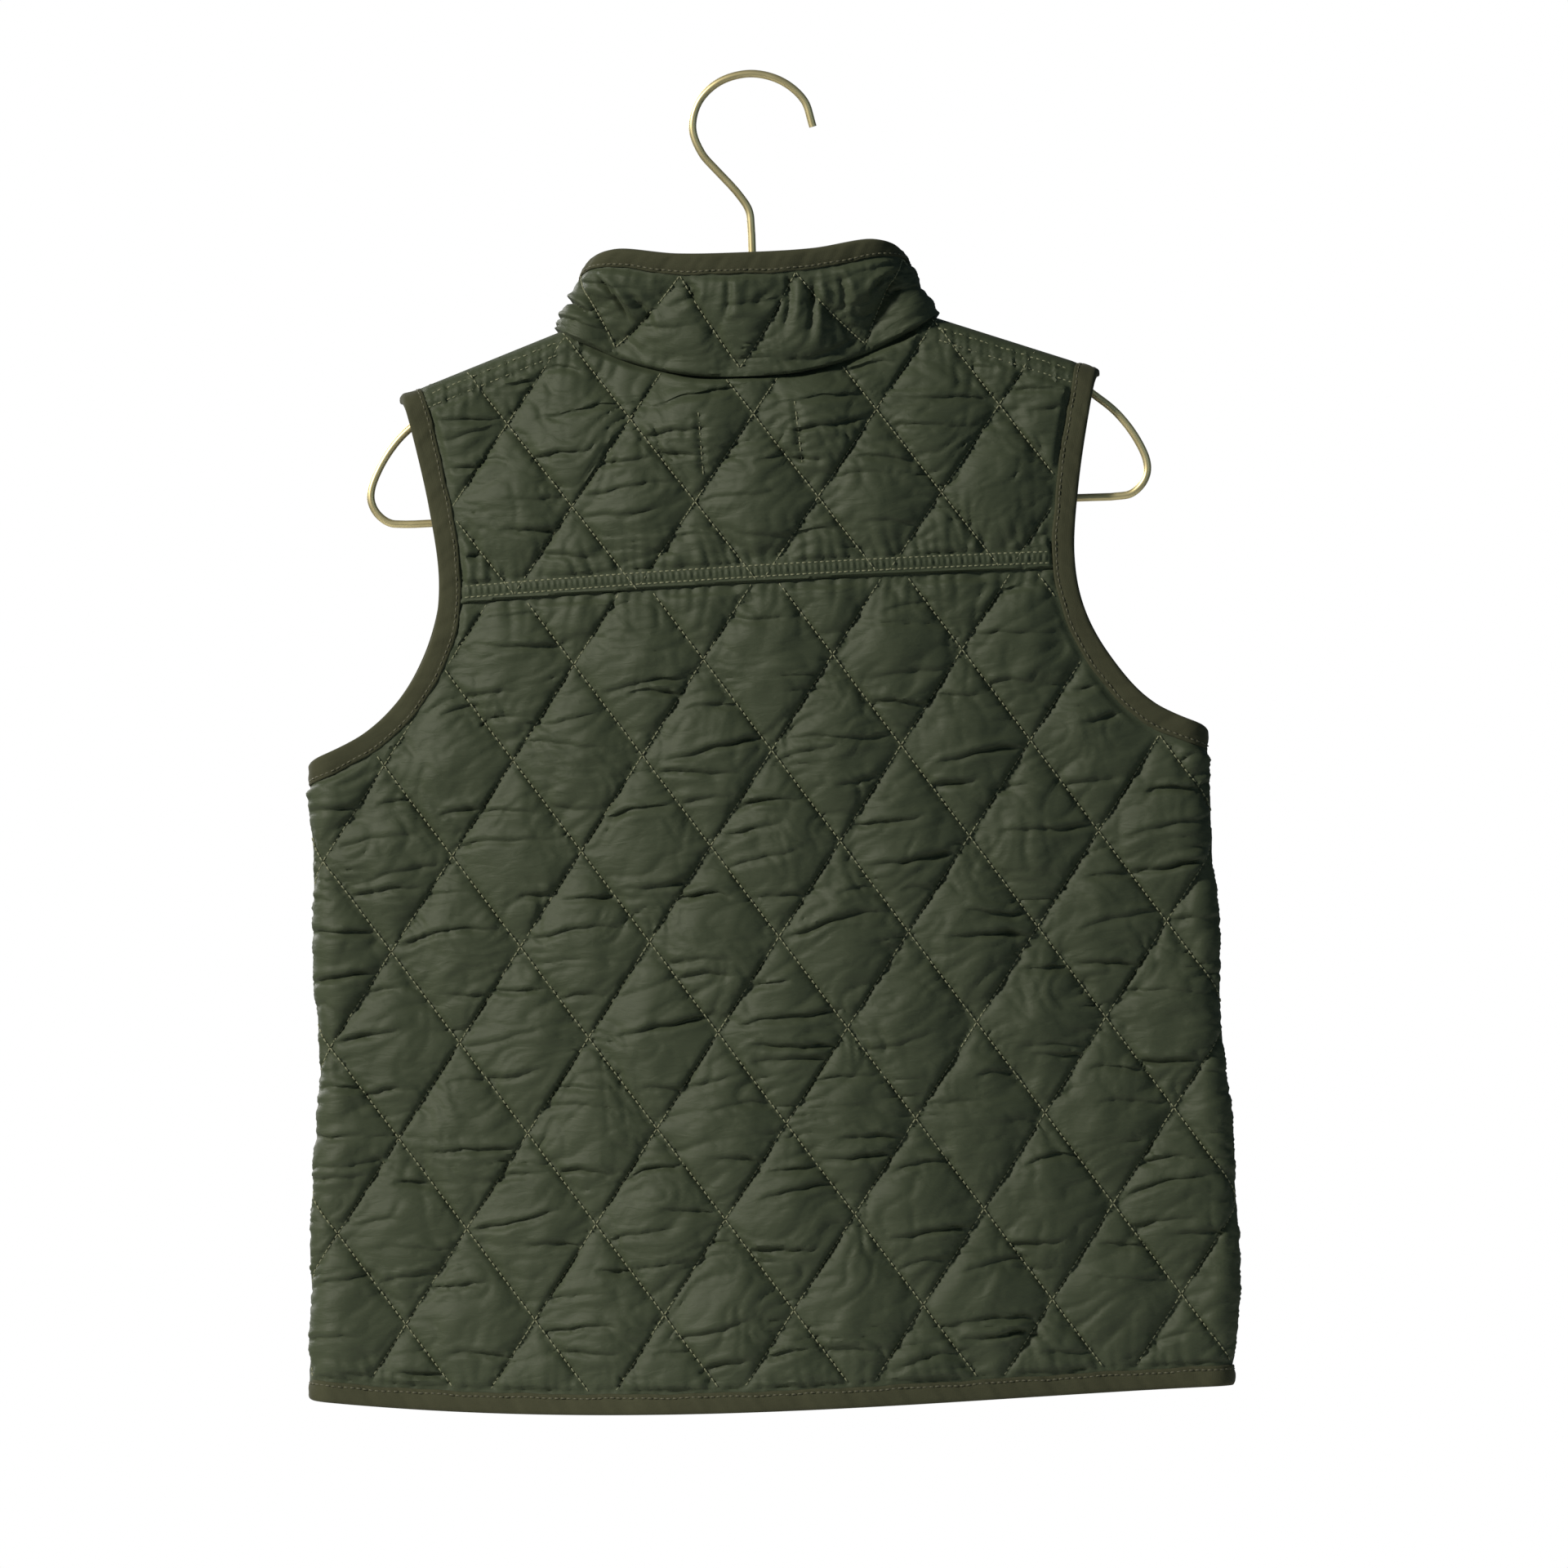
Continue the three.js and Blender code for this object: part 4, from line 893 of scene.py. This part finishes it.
band_rows = (2.0, 2.9, 3.7, 4.6, 5.4, 6.3)
band_p, band_over = (grid.ravel() for grid in np.meshgrid(np.arange(-118, 118, 0.575), band_rows))
band_points = pairs(band_p, yoke_seam(band_p) + GAP / 2 + band_over)
yoke_quilt = inset(back_outline, back_kinds, YOKE_EDGE)
upper_edges = [
    beyond_yoke(edge, 1, off)
    for edge, off in ((back_cut, SEAM_GAP), (yoke_quilt, YOKE_BAND), (back_sewn, SEAM_STITCHED))
]
yoke_heights = quilted_piece(
    "upper_back", "back_yoke", upper_edges, YOKE_QUILT, back, 11, yoke_shape, (band_points, among_band_rows),
)


def held_down(p, q, raised):
    points = pairs(p, q)
    return path_on(back, points, yoke_heights(points) + raised)


yoke_side = np.arange(-112.5, 113, 1.0)
yoke_paths = [
    held_down(yoke_side, yoke_seam(yoke_side) + GAP / 2 + row, level)
    for row, level in zip(YOKE_ROWS, YOKE_ROW_LEVELS)
]
for side in (-1, 1):
    along_shoulder = side * np.arange(73, 127, 1.0)
    yoke_paths += [
        held_down(along_shoulder, shoulder(along_shoulder) - row * SHOULDER_SLANT, SHOULDER_ROW_LEVEL)
        for row in SHOULDER_ROWS
    ]
yoke_paths += [held_down(*resampled(ends, 1.0).T, SHORT_ROW_LEVEL) for ends in SHORT_ROWS]
stitched("upper_back_rows", stitches_along(yoke_paths), sewing_thread)

# Fronts
# Two quilted pieces that meet at the zip. They are cut like the lower back, run up to the shoulder seams,
# and their armholes are scooped a little differently, so that one binding peeps out at the underarm.
FRONT_NECK = [(0, -152), (22, -149), (42, -139), (58, -122), (68, -105)]
FRONT_ARMHOLE_EASE = {"left": 3, "right": -1.3}
FRONT_EDGE = 5.8
ZIP_ROW = {"in": 4.1, "from": -160, "to": -500, "level": 0.14}
ZIP_EDGE_GATHERS = {"height": 0.4, "seed": 53, "reach": 6, "waves": (3.1, 4.7, 7.3, 11.9)}
front_edges = edges_of(*outline(FRONT_NECK, FRONT_ARMHOLE_EASE["right"], FRONT_ARMHOLE_EASE["left"]))


def beside_zip(edge, sign, beyond):
    return cut(edge, lambda at: sign * at[:, 0] - beyond, lambda at: (sign * beyond, at[1]))


def front_gathers(points):
    side = np.abs(points[:, 0]) - FRONT_EDGE - 1.5
    low = hem_gathers(points, 90, 52) + side_gathers(points, 54)
    return low + puckered(points[:, 1], side, **ZIP_EDGE_GATHERS) - 0.45 * bell(side - 2.6, 0.8)


for name, sign, seed, node in (("right_front", 1, 21, "front_right"), ("left_front", -1, 22, "front_left")):
    edges = [
        beside_zip(edge, sign, FRONT_EDGE + plain)
        for edge, plain in zip(front_edges, (0, SEAM_PLAIN, SEAM_PLAIN))
    ]
    heights = quilted_piece(name, node, edges, PANEL_QUILT, front, seed, front_gathers)
    row_p = np.full(360, sign * (FRONT_EDGE + ZIP_ROW["in"]))
    zip_row = pairs(row_p, np.linspace(ZIP_ROW["from"], ZIP_ROW["to"], 360))
    zip_path = path_on(front, zip_row, heights(zip_row) + ZIP_ROW["level"])
    stitched(name + "_zip_row", stitches_along([zip_path]), sewing_thread)

# Collar
# A quilted stand collar. It is a strip sewn to the neck all round, leaning in towards its upper edge, and
# it has half collapsed: a soft fold runs down each side of the back, with smaller creases between them.
COLLAR_QUILT = {"width": 46.5, "height": 70, "x": -3, "z": 2.5, "lean": 0, "cloth": 2.0, "creased": 0.5}
COLLAR_HEIGHT = 46
COLLAR_TOP = [
    (0, -21, -67.5), (26, -20.5, -67), (51, -16, -64.4), (59, -5, -69.5), (61, 6, -77),
    (55, 14.5, -84), (38, 20.5, -94), (18, 23.5, -103.5), (5.8, 24.5, -108),
]
COLLAR_FOLD = {"from": (62, 28), "to": (40, 6), "depth": 3, "width": 7}
COLLAR_PINCH = {"s": 78, "h": 19, "wide": 13, "tall": 8, "depth": 3.2}
COLLAR_CREASES = [
    ((-7, 38), (-9, 20), 1.5), ((18, 38), (12, 13), 1.9), ((27, 37), (20, 8), 1.8),
    ((-61, 35), (-43, 13), 3.0), ((-79, 22), (-57, 11), 2.6), ((38, 36), (35, 16), 1.5),
    ((47, 22), (62, 30), 2.2), ((-25, 37), (-19, 25), 1.3), ((-16, 34), (-33, 24), 1.2),
    ((2, 26), (14, 31), 1.3), ((-47, 30), (-33, 12), 1.6),
]
COLLAR_BINDING = 8.0
COLLAR_FOOT_GATHERS = {"height": 0.55, "seed": 61, "reach": 6, "waves": (5.1, 8.3, 13.1)}
COLLAR_TOP_GATHERS = {"height": 0.8, "seed": 62, "reach": 6, "waves": (5.3, 8.9, 13.7)}
COLLAR_LIP = {"high": 1.6, "at": 0.6, "wide": 2.6}
QUILTED_TOP = COLLAR_HEIGHT - COLLAR_BINDING - 0.6


def rounded(points, steps=24):
    """A dense smooth curve through places in space, tighter where they are closer."""
    points = np.asarray(points, float)
    padded = np.vstack([2 * points[0] - points[1], points, 2 * points[-1] - points[-2]])
    dense = []
    for a, b, c, d in zip(padded, padded[1:], padded[2:], padded[3:]):
        gaps = [max(math.sqrt(np.linalg.norm(y - x)), 1e-6) for x, y in ((a, b), (b, c), (c, d))]
        into = ((b - a) / gaps[0] - (c - a) / (gaps[0] + gaps[1]) + (c - b) / gaps[1]) * gaps[1]
        out = ((c - b) / gaps[1] - (d - b) / (gaps[1] + gaps[2]) + (d - c) / gaps[2]) * gaps[1]
        dense.append(cubic(b, c, into, out, steps))
    return np.vstack(dense + [points[-1:]])


def neck_edge(rows, place):
    curve = neck(rows, 0.5)
    points = resampled(curve, lengths(curve)[-1] / 9)
    run = np.gradient(points, axis=0)
    run[0], run[-1] = points[1] - points[0], points[-1] - points[-2]
    run = unit(run)
    off = GAP + ease(np.arange(len(points)) / (len(points) - 1)) * (COLLAR_QUILT["cloth"] / 2 + 2 * GAP)
    moved = points + pairs(-run[:, 1], run[:, 0]) * off[:, None]
    return place(moved[:, 0], moved[:, 1], np.full(len(moved), CLOTH / 2)) / MM


def both_halves(half):
    mirror = half[1:][::-1].copy()
    mirror[:, 0] = 2 * lean(mirror[:, 2]) - mirror[:, 0]
    return np.vstack([mirror, half])


front_neck = neck_edge(FRONT_NECK, front)[::-1][1:]
front_neck[-1, 0] = lean(FRONT_NECK[0][1]) + FRONT_EDGE
top_half = np.array(COLLAR_TOP, float)
top_half[:, 0] += lean(top_half[:, 2])
collar_edges = []
for half in (np.vstack([neck_edge(BACK_NECK, back), front_neck]), top_half):
    curve = rounded(both_halves(half))
    length = lengths(curve)
    collar_edges.append((length / length[-1], curve, length[-1]))
COLLAR_REACH = sum(length for _, _, length in collar_edges) / 4


def on_edge(which, part):
    along, curve, _ = collar_edges[which]
    return np.stack([np.interp(part, along, curve[:, axis]) for axis in range(3)], axis=-1)


def collar_fold(s, h):
    start, end = np.array(COLLAR_FOLD["from"]), np.array(COLLAR_FOLD["to"])
    run = end - start
    length = np.linalg.norm(run)
    along = ((np.abs(s) - start[0]) * run[0] + (h - start[1]) * run[1]) / length**2
    beside = ((np.abs(s) - start[0]) * run[1] - (h - start[1]) * run[0]) / length
    fade = ease(along * 3) * ease((1 - along) * 3)
    return COLLAR_FOLD["depth"] * fade * bell(beside, COLLAR_FOLD["width"])


def collar_pinch(s, h):
    """Where the collar is nipped in at its sides, above the shoulder seams."""
    beside = bell(np.abs(s) - COLLAR_PINCH["s"], COLLAR_PINCH["wide"])
    return COLLAR_PINCH["depth"] * beside * bell(h - COLLAR_PINCH["h"], COLLAR_PINCH["tall"])


def collar(s, h, t):
    """Places on the standing collar; s runs round it, h up from the neck seam, t outwards."""
    part = np.clip(0.5 + s / COLLAR_REACH / 2, 0, 1)
    up = (h / COLLAR_HEIGHT)[..., None]

    def at(where):
        where = np.clip(where, 0, 1)
        low = on_edge(0, where)
        return low + (on_edge(1, where) - low) * up

    run = at(part + 0.004) - at(part - 0.004)
    out = unit(np.cross(run, on_edge(1, part) - on_edge(0, part)))
    bow = 1.2 * np.sin(math.pi * np.clip(h / COLLAR_HEIGHT, 0, 1)) - collar_fold(s, h) - collar_pinch(s, h)
    return (at(part) + out * (t - COLLAR_QUILT["cloth"] / 2 + bow)[..., None]) * MM


def rectangle(left, right, low, high):
    corners = [(left, high), (right, high), (right, low), (left, low), (left, high)]
    return np.vstack([resampled([a, b], EDGE_STEP)[:-1] for a, b in zip(corners, corners[1:])])


def collar_gathers(points):
    s, h = points.T
    rolled = COLLAR_LIP["high"] * bell(h - COLLAR_LIP["at"], COLLAR_LIP["wide"])
    for start, end, depth in COLLAR_CREASES:
        run = np.subtract(end, start) / math.dist(start, end)
        along = ((points - start) @ run) / math.dist(start, end)
        off = (points - start) @ np.array([-run[1], run[0]]) - 1.3 * np.sin(math.pi * np.clip(along, 0, 1))
        held = ease(along * 4) * ease((1 - along) * 2.5)
        rolled = rolled - depth * held * (bell(off, 1.3) - 0.6 * bell(off - 3.1, 2))
    low = puckered(s, h - 3, **COLLAR_FOOT_GATHERS)
    return rolled + low + puckered(s + 50, QUILTED_TOP - h, **COLLAR_TOP_GATHERS)


def collar_edge():
    """The strip's outline; below, it reaches down to the neck of the pieces that it is sewn to."""
    edge = rectangle(-COLLAR_REACH, COLLAR_REACH, GAP, COLLAR_HEIGHT - BINDING_WALL - GAP)
    turn = lengths(neck(BACK_NECK))[-1]
    s = np.abs(edge[:, 0])
    share = np.where(s < turn, s / turn, 1 - (s - turn) / (COLLAR_REACH - turn))
    reach_down = 2 * GAP + ease(share) * (COLLAR_QUILT["cloth"] / 2 + 2 * GAP)
    edge[:, 1] = np.where(edge[:, 1] <= GAP, -reach_down * ease((COLLAR_REACH - s) / 4), edge[:, 1])
    return edge


quilted_reach = COLLAR_REACH - 2
collar_cuts = [
    collar_edge(), rectangle(-quilted_reach, quilted_reach, -1.4, QUILTED_TOP),
    rectangle(-quilted_reach, quilted_reach, 0.8, COLLAR_HEIGHT - COLLAR_BINDING),
]
quilted_piece("stand_collar", "collar", collar_cuts, COLLAR_QUILT, collar, 33, collar_gathers)

# Bindings
# Strips of brownish twill folded over the armholes, the hem and the top of the collar, each sewn down
# through both sides with one row near its inner edge, which draws small slanting creases across it.
HEM_BINDING = 8.0
BINDING_SLACK = 0.15
BINDING_THICK = 0.85
BINDING_ROW = 1.5
BINDING_FOLD = 0.75
BINDING_THREAD = 0.62
BINDING_PITCH = 2.4
BINDING_WAVES = (4.3, 6.9, 11.0, 19.0)
# Where the points of a strip stand, measured in from its inner edge and out from its fold
LEAF_EDGE = (0, 0.15, 0.8, 1.6, 2.4, 3.6, 5)
LEAF_FOLD = (2.3, 1.5, 0.8, 0.35, 0.08)
twill = cloth_material(
    "brown_twill", (0.043, 0.0445, 0.0235), (0.074, 0.0765, 0.042), scale=620, roughness=0.85, crinkle=0.3,
    sheen=0.1,
)
binding_thread = thread_material("brown_thread", (0.075, 0.074, 0.046), (0.14, 0.137, 0.088))


def binding_profile(width, cloth):
    """Distance from the fold, height through the cloth and side, round one strip."""
    outer = cloth + BINDING_SLACK
    rows = []
    for d in [*(width - step for step in LEAF_EDGE), *LEAF_FOLD]:
        round_off = 1.3 * (1 - math.sqrt(max(0, 1 - (1 - min(d, 1.6) / 1.6) ** 2)))
        edge_off = 0.6 * max(0, 1 - (width - d) / 0.5)
        rows.append((d, outer + BINDING_THICK - round_off - edge_off, 1))
    fold = [(0, outer - BINDING_FOLD, 0), (0, cloth - outer + BINDING_FOLD, 0)]
    mirrored = [(d, cloth - t, -1) for d, t, _ in reversed(rows)]
    inside_wall = [(width, -BINDING_SLACK, 0), (1, -BINDING_SLACK, 0), (1, outer, 0), (width, outer, 0)]
    return np.array([*rows, *fold, *mirrored, *inside_wall])


def binding(name, node, runs, width, cloth, closed, seed):
    """One folded strip along runs of (place, edge points, inward directions)."""
    profile = binding_profile(width, cloth)
    phases = np.random.default_rng(seed).random(6) * 7
    rings, rows, start = [], {1: [], -1: []}, 0.0
    for place, points, into in runs:
        length = start + lengths(points)
        start = length[-1]
        d, t, face = (column[None, :] for column in profile.T)
        along = length[:, None] + 0.75 * d
        waves = zip(BINDING_WAVES, phases)
        drag = sum(np.sin(2 * math.pi * along / wave + phase) for wave, phase in waves)
        pinch = np.cos(2 * math.pi * length[:, None] / BINDING_PITCH)
        pinch = pinch + 0.6 * np.sin(2 * math.pi * length[:, None] / 5.3)
        row = bell(d - width + BINDING_ROW, 0.9)
        shape = (0.1 * drag + 0.09 * pinch * row) * ease(d / 1.6) * ease((width - d + 0.4) / 0.6)
        shape = shape - 0.36 * row
        slack = 0.22 * np.sin(2 * math.pi * length / 37 + phases[4])
        slack = slack + 0.16 * np.sin(2 * math.pi * length / 16 + phases[5])
        d = d + slack[:, None] * ease(d / width) * 0.8
        p = points[:, 0, None] + into[:, 0, None] * d
        q = points[:, 1, None] + into[:, 1, None] * d
        rings.append(place(p, q, t + face * shape))
        flat = points + into * (width - BINDING_ROW + 0.8 * slack)[:, None]
        rise = BINDING_SLACK + BINDING_THREAD
        for side, level in ((1, cloth + rise), (-1, -rise)):
            base, out = path_on(place, flat, np.full(len(flat), float(level)))
            rows[side].append((base, out * side))
    rings = np.concatenate(rings)
    run = lengths(rings[:, 0])
    across = lengths(profile[:, :2]) * MM
    flat = np.stack(np.broadcast_arrays(run[:, None], across[None, :]), axis=-1).reshape(-1, 2)
    mesh = meshed(name, rings, tube(*rings.shape[:2], closed), flat)
    piece = stood(name, mesh, twill, sharp=50)
    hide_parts(node)
    paths = [[np.vstack(column) for column in zip(*rows[side])] for side in (1, -1)]
    stitched(name + "_row", stitches_along(paths, BINDING_PITCH), binding_thread)


def inward(points, start_in, end_in):
    """Directions into the cloth, on the right hand side of an edge, eased to the given ones at its ends."""
    run = unit(np.gradient(points, axis=0))
    own = pairs(run[:, 1], -run[:, 0])
    length = lengths(points)
    for held, distance in ((start_in, length), (end_in, length[-1] - length)):
        share = ease(distance / 7)[:, None]
        own = np.array(held) * (1 - share) + own * share
    return unit(own)


along_shoulder_in = np.array([-1, SHOULDER_FALL]) / SHOULDER_SLANT
for side, sign, seed in (("right", 1, 71), ("left", -1, 72)):
    runs = []
    for place, side_ease, order in ((back, 0, 1), (front, FRONT_ARMHOLE_EASE[side], -1)):
        edge = armhole(side_ease)
        into = inward(edge, along_shoulder_in, (0, -1))
        edge, into = (edge, into) if order > 0 else (edge[::-1][1:-1], into[::-1][1:-1])
        runs.append((place, edge * (sign, 1), into * (sign, 1)))
    binding("armhole_trim_" + side, "armhole_binding_" + side, runs, ARMHOLE_BINDING, CLOTH, True, seed)

half_hem = np.linspace(FRONT_EDGE + GAP / 2, hem_reach, 118)
back_hem = np.linspace(-hem_reach, hem_reach, 240)[1:-1]
hem_runs = [
    (place, pairs(p, hem(p)), np.tile([0.0, 1.0], (len(p), 1)))
    for place, p in ((front, -half_hem), (back, back_hem), (front, half_hem[::-1]))
]
binding("hem_trim", "hem_binding", hem_runs, HEM_BINDING, CLOTH, False, 73)

collar_s = np.linspace(-COLLAR_REACH, COLLAR_REACH, 230)
collar_run = pairs(collar_s, np.full(len(collar_s), float(COLLAR_HEIGHT)))
collar_runs = [(collar, collar_run, np.tile([0.0, -1.0], (len(collar_s), 1)))]
binding("collar_trim", "collar_binding", collar_runs, COLLAR_BINDING, COLLAR_QUILT["cloth"], False, 74)

# Zip
# A moulded zip closes the front. Each woven tape carries a row of teeth locked with the other row; the
# brass slider stands at the top with its tab hanging from a pin. Slider and tab keep their solids.
TAPE = {"from": 2.9, "to": 13, "inner": -1.4, "outer": -0.4}
TOOTH_PITCH = 2.5
TOOTH = {"reach": 2.7, "past": 0.75, "tall": 1.05, "inner": -1.9, "outer": 0.5}
ZIP_BOTTOM = -507
TAPE_BOTTOM = HEM_Z + HEM_BINDING + 3
TAPE_END = ZIP_BOTTOM - 1.5
TAPE_COLUMNS = (TAPE["from"], 4.2, 5.45, 5.7, 6.6, 8, 9.7, 11.4, TAPE["to"])
NECK_FRONT = FRONT_NECK[0][1]
CHAIN_TOP = NECK_FRONT + COLLAR_HEIGHT - 10


def at_zip(p, q, t):
    """Places at the centre front: on the fronts, and above the neck on the ends of the collar."""
    low = front(p, np.minimum(q, NECK_FRONT), t)
    beyond = np.maximum(0, np.abs(p) - FRONT_EDGE)
    side = np.where(p < 0, -1, 1)
    high = collar(side * (COLLAR_REACH - beyond), np.maximum(q - NECK_FRONT, 0), t)
    high[..., 0] = np.where(beyond > 0, high[..., 0], lean(high[..., 2] / MM) * MM + p * MM)
    return np.where((q <= NECK_FRONT)[..., None], low, high)


zip_tape_cloth = cloth_material(
    "zip_tape_cloth", (0.025, 0.028, 0.022), (0.04, 0.043, 0.034), scale=420, roughness=0.85, crinkle=0.1,
    sheen=0.1,
)
tape_columns = np.array(TAPE_COLUMNS)
tape_foot = np.where(tape_columns < TAPE_COLUMNS[3], TAPE_END, TAPE_BOTTOM)
tape_shares = np.linspace(0, 1, 190)[:, None]
for side, sign in (("right", 1), ("left", -1)):
    grid_q = tape_foot + (CHAIN_TOP - tape_foot) * tape_shares
    grid_p = np.broadcast_to(sign * tape_columns, grid_q.shape)
    outer, inner = (at_zip(grid_p, grid_q, np.full(grid_q.shape, TAPE[face])) for face in ("outer", "inner"))
    rings = np.concatenate([outer, inner[:, ::-1]], axis=1)
    flat = pairs(*(np.hstack([grid, grid[:, ::-1]]).ravel() for grid in (grid_p, grid_q))) * MM
    name = "zip_cloth_" + side
    tape = stood(name, meshed(name, rings, tube(*rings.shape[:2]), flat), zip_tape_cloth)
    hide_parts("zip_tape_" + side)


def moulded(name, dark, light, roughness, metal=0.0):
    """A moulded or cast surface with a little uneven tone and a fine grain."""
    material, nodes, links, skin, tone = toned(name, dark, light)
    set_to(skin, Metallic=metal)
    where = nodes.new("ShaderNodeTexCoord")
    cloud = set_to(nodes.new("ShaderNodeTexNoise"), Scale=160, Detail=2)
    gloss = set_to(nodes.new("ShaderNodeMapRange"), To_Min=roughness - 0.05, To_Max=roughness + 0.06)
    bump = set_to(nodes.new("ShaderNodeBump"), Strength=0.04, Distance=0.00005)
    links.new(where.outputs["Object"], cloud.inputs["Vector"])
    for socket in (tone, gloss.inputs["Value"], bump.inputs["Height"]):
        links.new(cloud.outputs["Fac"], socket)
    links.new(gloss.outputs["Result"], skin.inputs["Roughness"])
    links.new(bump.outputs["Normal"], skin.inputs["Normal"])
    return material


tooth_plastic = moulded("zip_tooth_plastic", (0.02, 0.024, 0.02), (0.036, 0.04, 0.032), roughness=0.42)
head, waist = TOOTH["tall"], TOOTH["tall"] * 0.62
tooth_side = [
    (TOOTH["reach"] + 0.5, head * 0.55), (0.55, waist * 0.5), (0.1, head * 0.5),
    (-TOOTH["past"], head * 0.32),
]
tooth = np.array([(p, -q) for p, q in tooth_side] + tooth_side[::-1])
tooth_faces = tube(2, len(tooth))
teeth, faces = [], []
for index, level in enumerate(np.arange(ZIP_BOTTOM + 1.0, CHAIN_TOP - 1.0, TOOTH_PITCH / 2)):
    sign = 1 if index % 2 else -1
    rings = [
        at_zip(sign * tooth[:, 0], level + tooth[:, 1], np.full(len(tooth), TOOTH[face]))
        for face in ("inner", "outer")
    ]
    teeth += rings[::sign]
    faces += [[vertex + index * 2 * len(tooth) for vertex in face] for face in tooth_faces]
tooth_mesh = meshed("zip_teeth", np.vstack(teeth), faces)
tooth_rows = stood("zip_teeth", tooth_mesh, tooth_plastic, sharp=40)
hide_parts("zip_chain")

brass = moulded("cast_brass", (0.42, 0.29, 0.12), (0.62, 0.45, 0.2), roughness=0.34, metal=1.0)
for node in ("zip_slider", "zip_pull"):
    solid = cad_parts[node]
    solid.data.materials.clear()
    solid.data.materials.append(brass)

# Hanger
# A child's hanger of 3 mm brassed wire: the hook with its stem, and the frame that runs under the
# shoulders, round a loop at each end, and back along a straight bar.
WIRE = 3.0
HOOK = [
    (25.2, -19.8), (22.2, -9.6), (13.8, -1.8), (2, 1.5), (-10, -1.2), (-18.2, -8.6), (-21, -18.6),
    (-17.8, -28.4), (-11, -36.6), (-4.2, -44.8), (-0.6, -51), (0, -58), (0, -70), (0, -80),
]
FRAME_APEX = -78
FRAME_SHOULDER = (35, 55, 75, 95)
FRAME_LOOP = [
    (118, -118.6), (131.3, -128), (138.5, -134.5), (145, -143.5), (148.9, -152.5), (149, -157.5),
    (146.8, -162), (142.5, -165.4), (137, -166.2),
]
FRAME_CENTRE = -0.8
FRAME_BAR = -166.2
FRAME_BAR_STOPS = (120, 60)
WIRE_TURN = 0.05
WIRE_RUN = 12


def frame_side(sign):
    under = []
    for p in FRAME_SHOULDER:
        z = shoulder(p) - CLOTH - (GAP + WIRE / 2) * SHOULDER_SLANT
        under.append((float(lean(z)) + sign * p, z))
    loop = [(FRAME_CENTRE + sign * x, z) for x, z in FRAME_LOOP]
    apex = (sign * (WIRE / 2 + GAP + 0.1), FRAME_APEX)
    return [apex, *under, *loop, *((sign * x, FRAME_BAR) for x in FRAME_BAR_STOPS)]


wire_metal = moulded("brassed_wire", (0.86, 0.73, 0.38), (0.97, 0.85, 0.5), roughness=0.42, metal=0.8)


def wire(name, points, node):
    """A round wire in the plane of the hanger, drawn as a curve with a round section and made mesh."""
    line = rounded([(x, 0, z) for x, z in points], 60)
    run = np.diff(line, axis=0)
    heading = np.unwrap(np.arctan2(run[:, 2], run[:, 0]))
    kept, last = [0], heading[0]
    for index in range(1, len(line) - 1):
        if abs(heading[index] - last) > WIRE_TURN or lengths(line[kept[-1]:index + 1])[-1] > WIRE_RUN:
            kept.append(index)
            last = heading[index]
    kept.append(len(line) - 1)
    curve = bpy.data.curves.new(name, "CURVE")
    curve.dimensions = "3D"
    curve.bevel_depth = WIRE / 2 * MM
    curve.bevel_resolution = 5
    curve.use_fill_caps = True
    spline = curve.splines.new("POLY")
    spline.points.add(len(kept) - 1)
    for point, index in zip(spline.points, kept):
        point.co = (*(line[index] * MM), 1)
    drawn = bpy.data.objects.new(name + "_line", curve)
    bpy.context.scene.collection.objects.link(drawn)
    bpy.context.view_layer.update()
    mesh = bpy.data.meshes.new_from_object(drawn.evaluated_get(bpy.context.evaluated_depsgraph_get()))
    bpy.data.objects.remove(drawn)
    mesh.name = name
    mesh.materials.clear()
    piece = stood(name, mesh, wire_metal, sharp=50)
    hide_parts(node)


wire("hook_wire", HOOK, "hanger_hook")
wire("frame_wire", [*frame_side(1), (0, FRAME_BAR), *frame_side(-1)[::-1]], "hanger_frame")
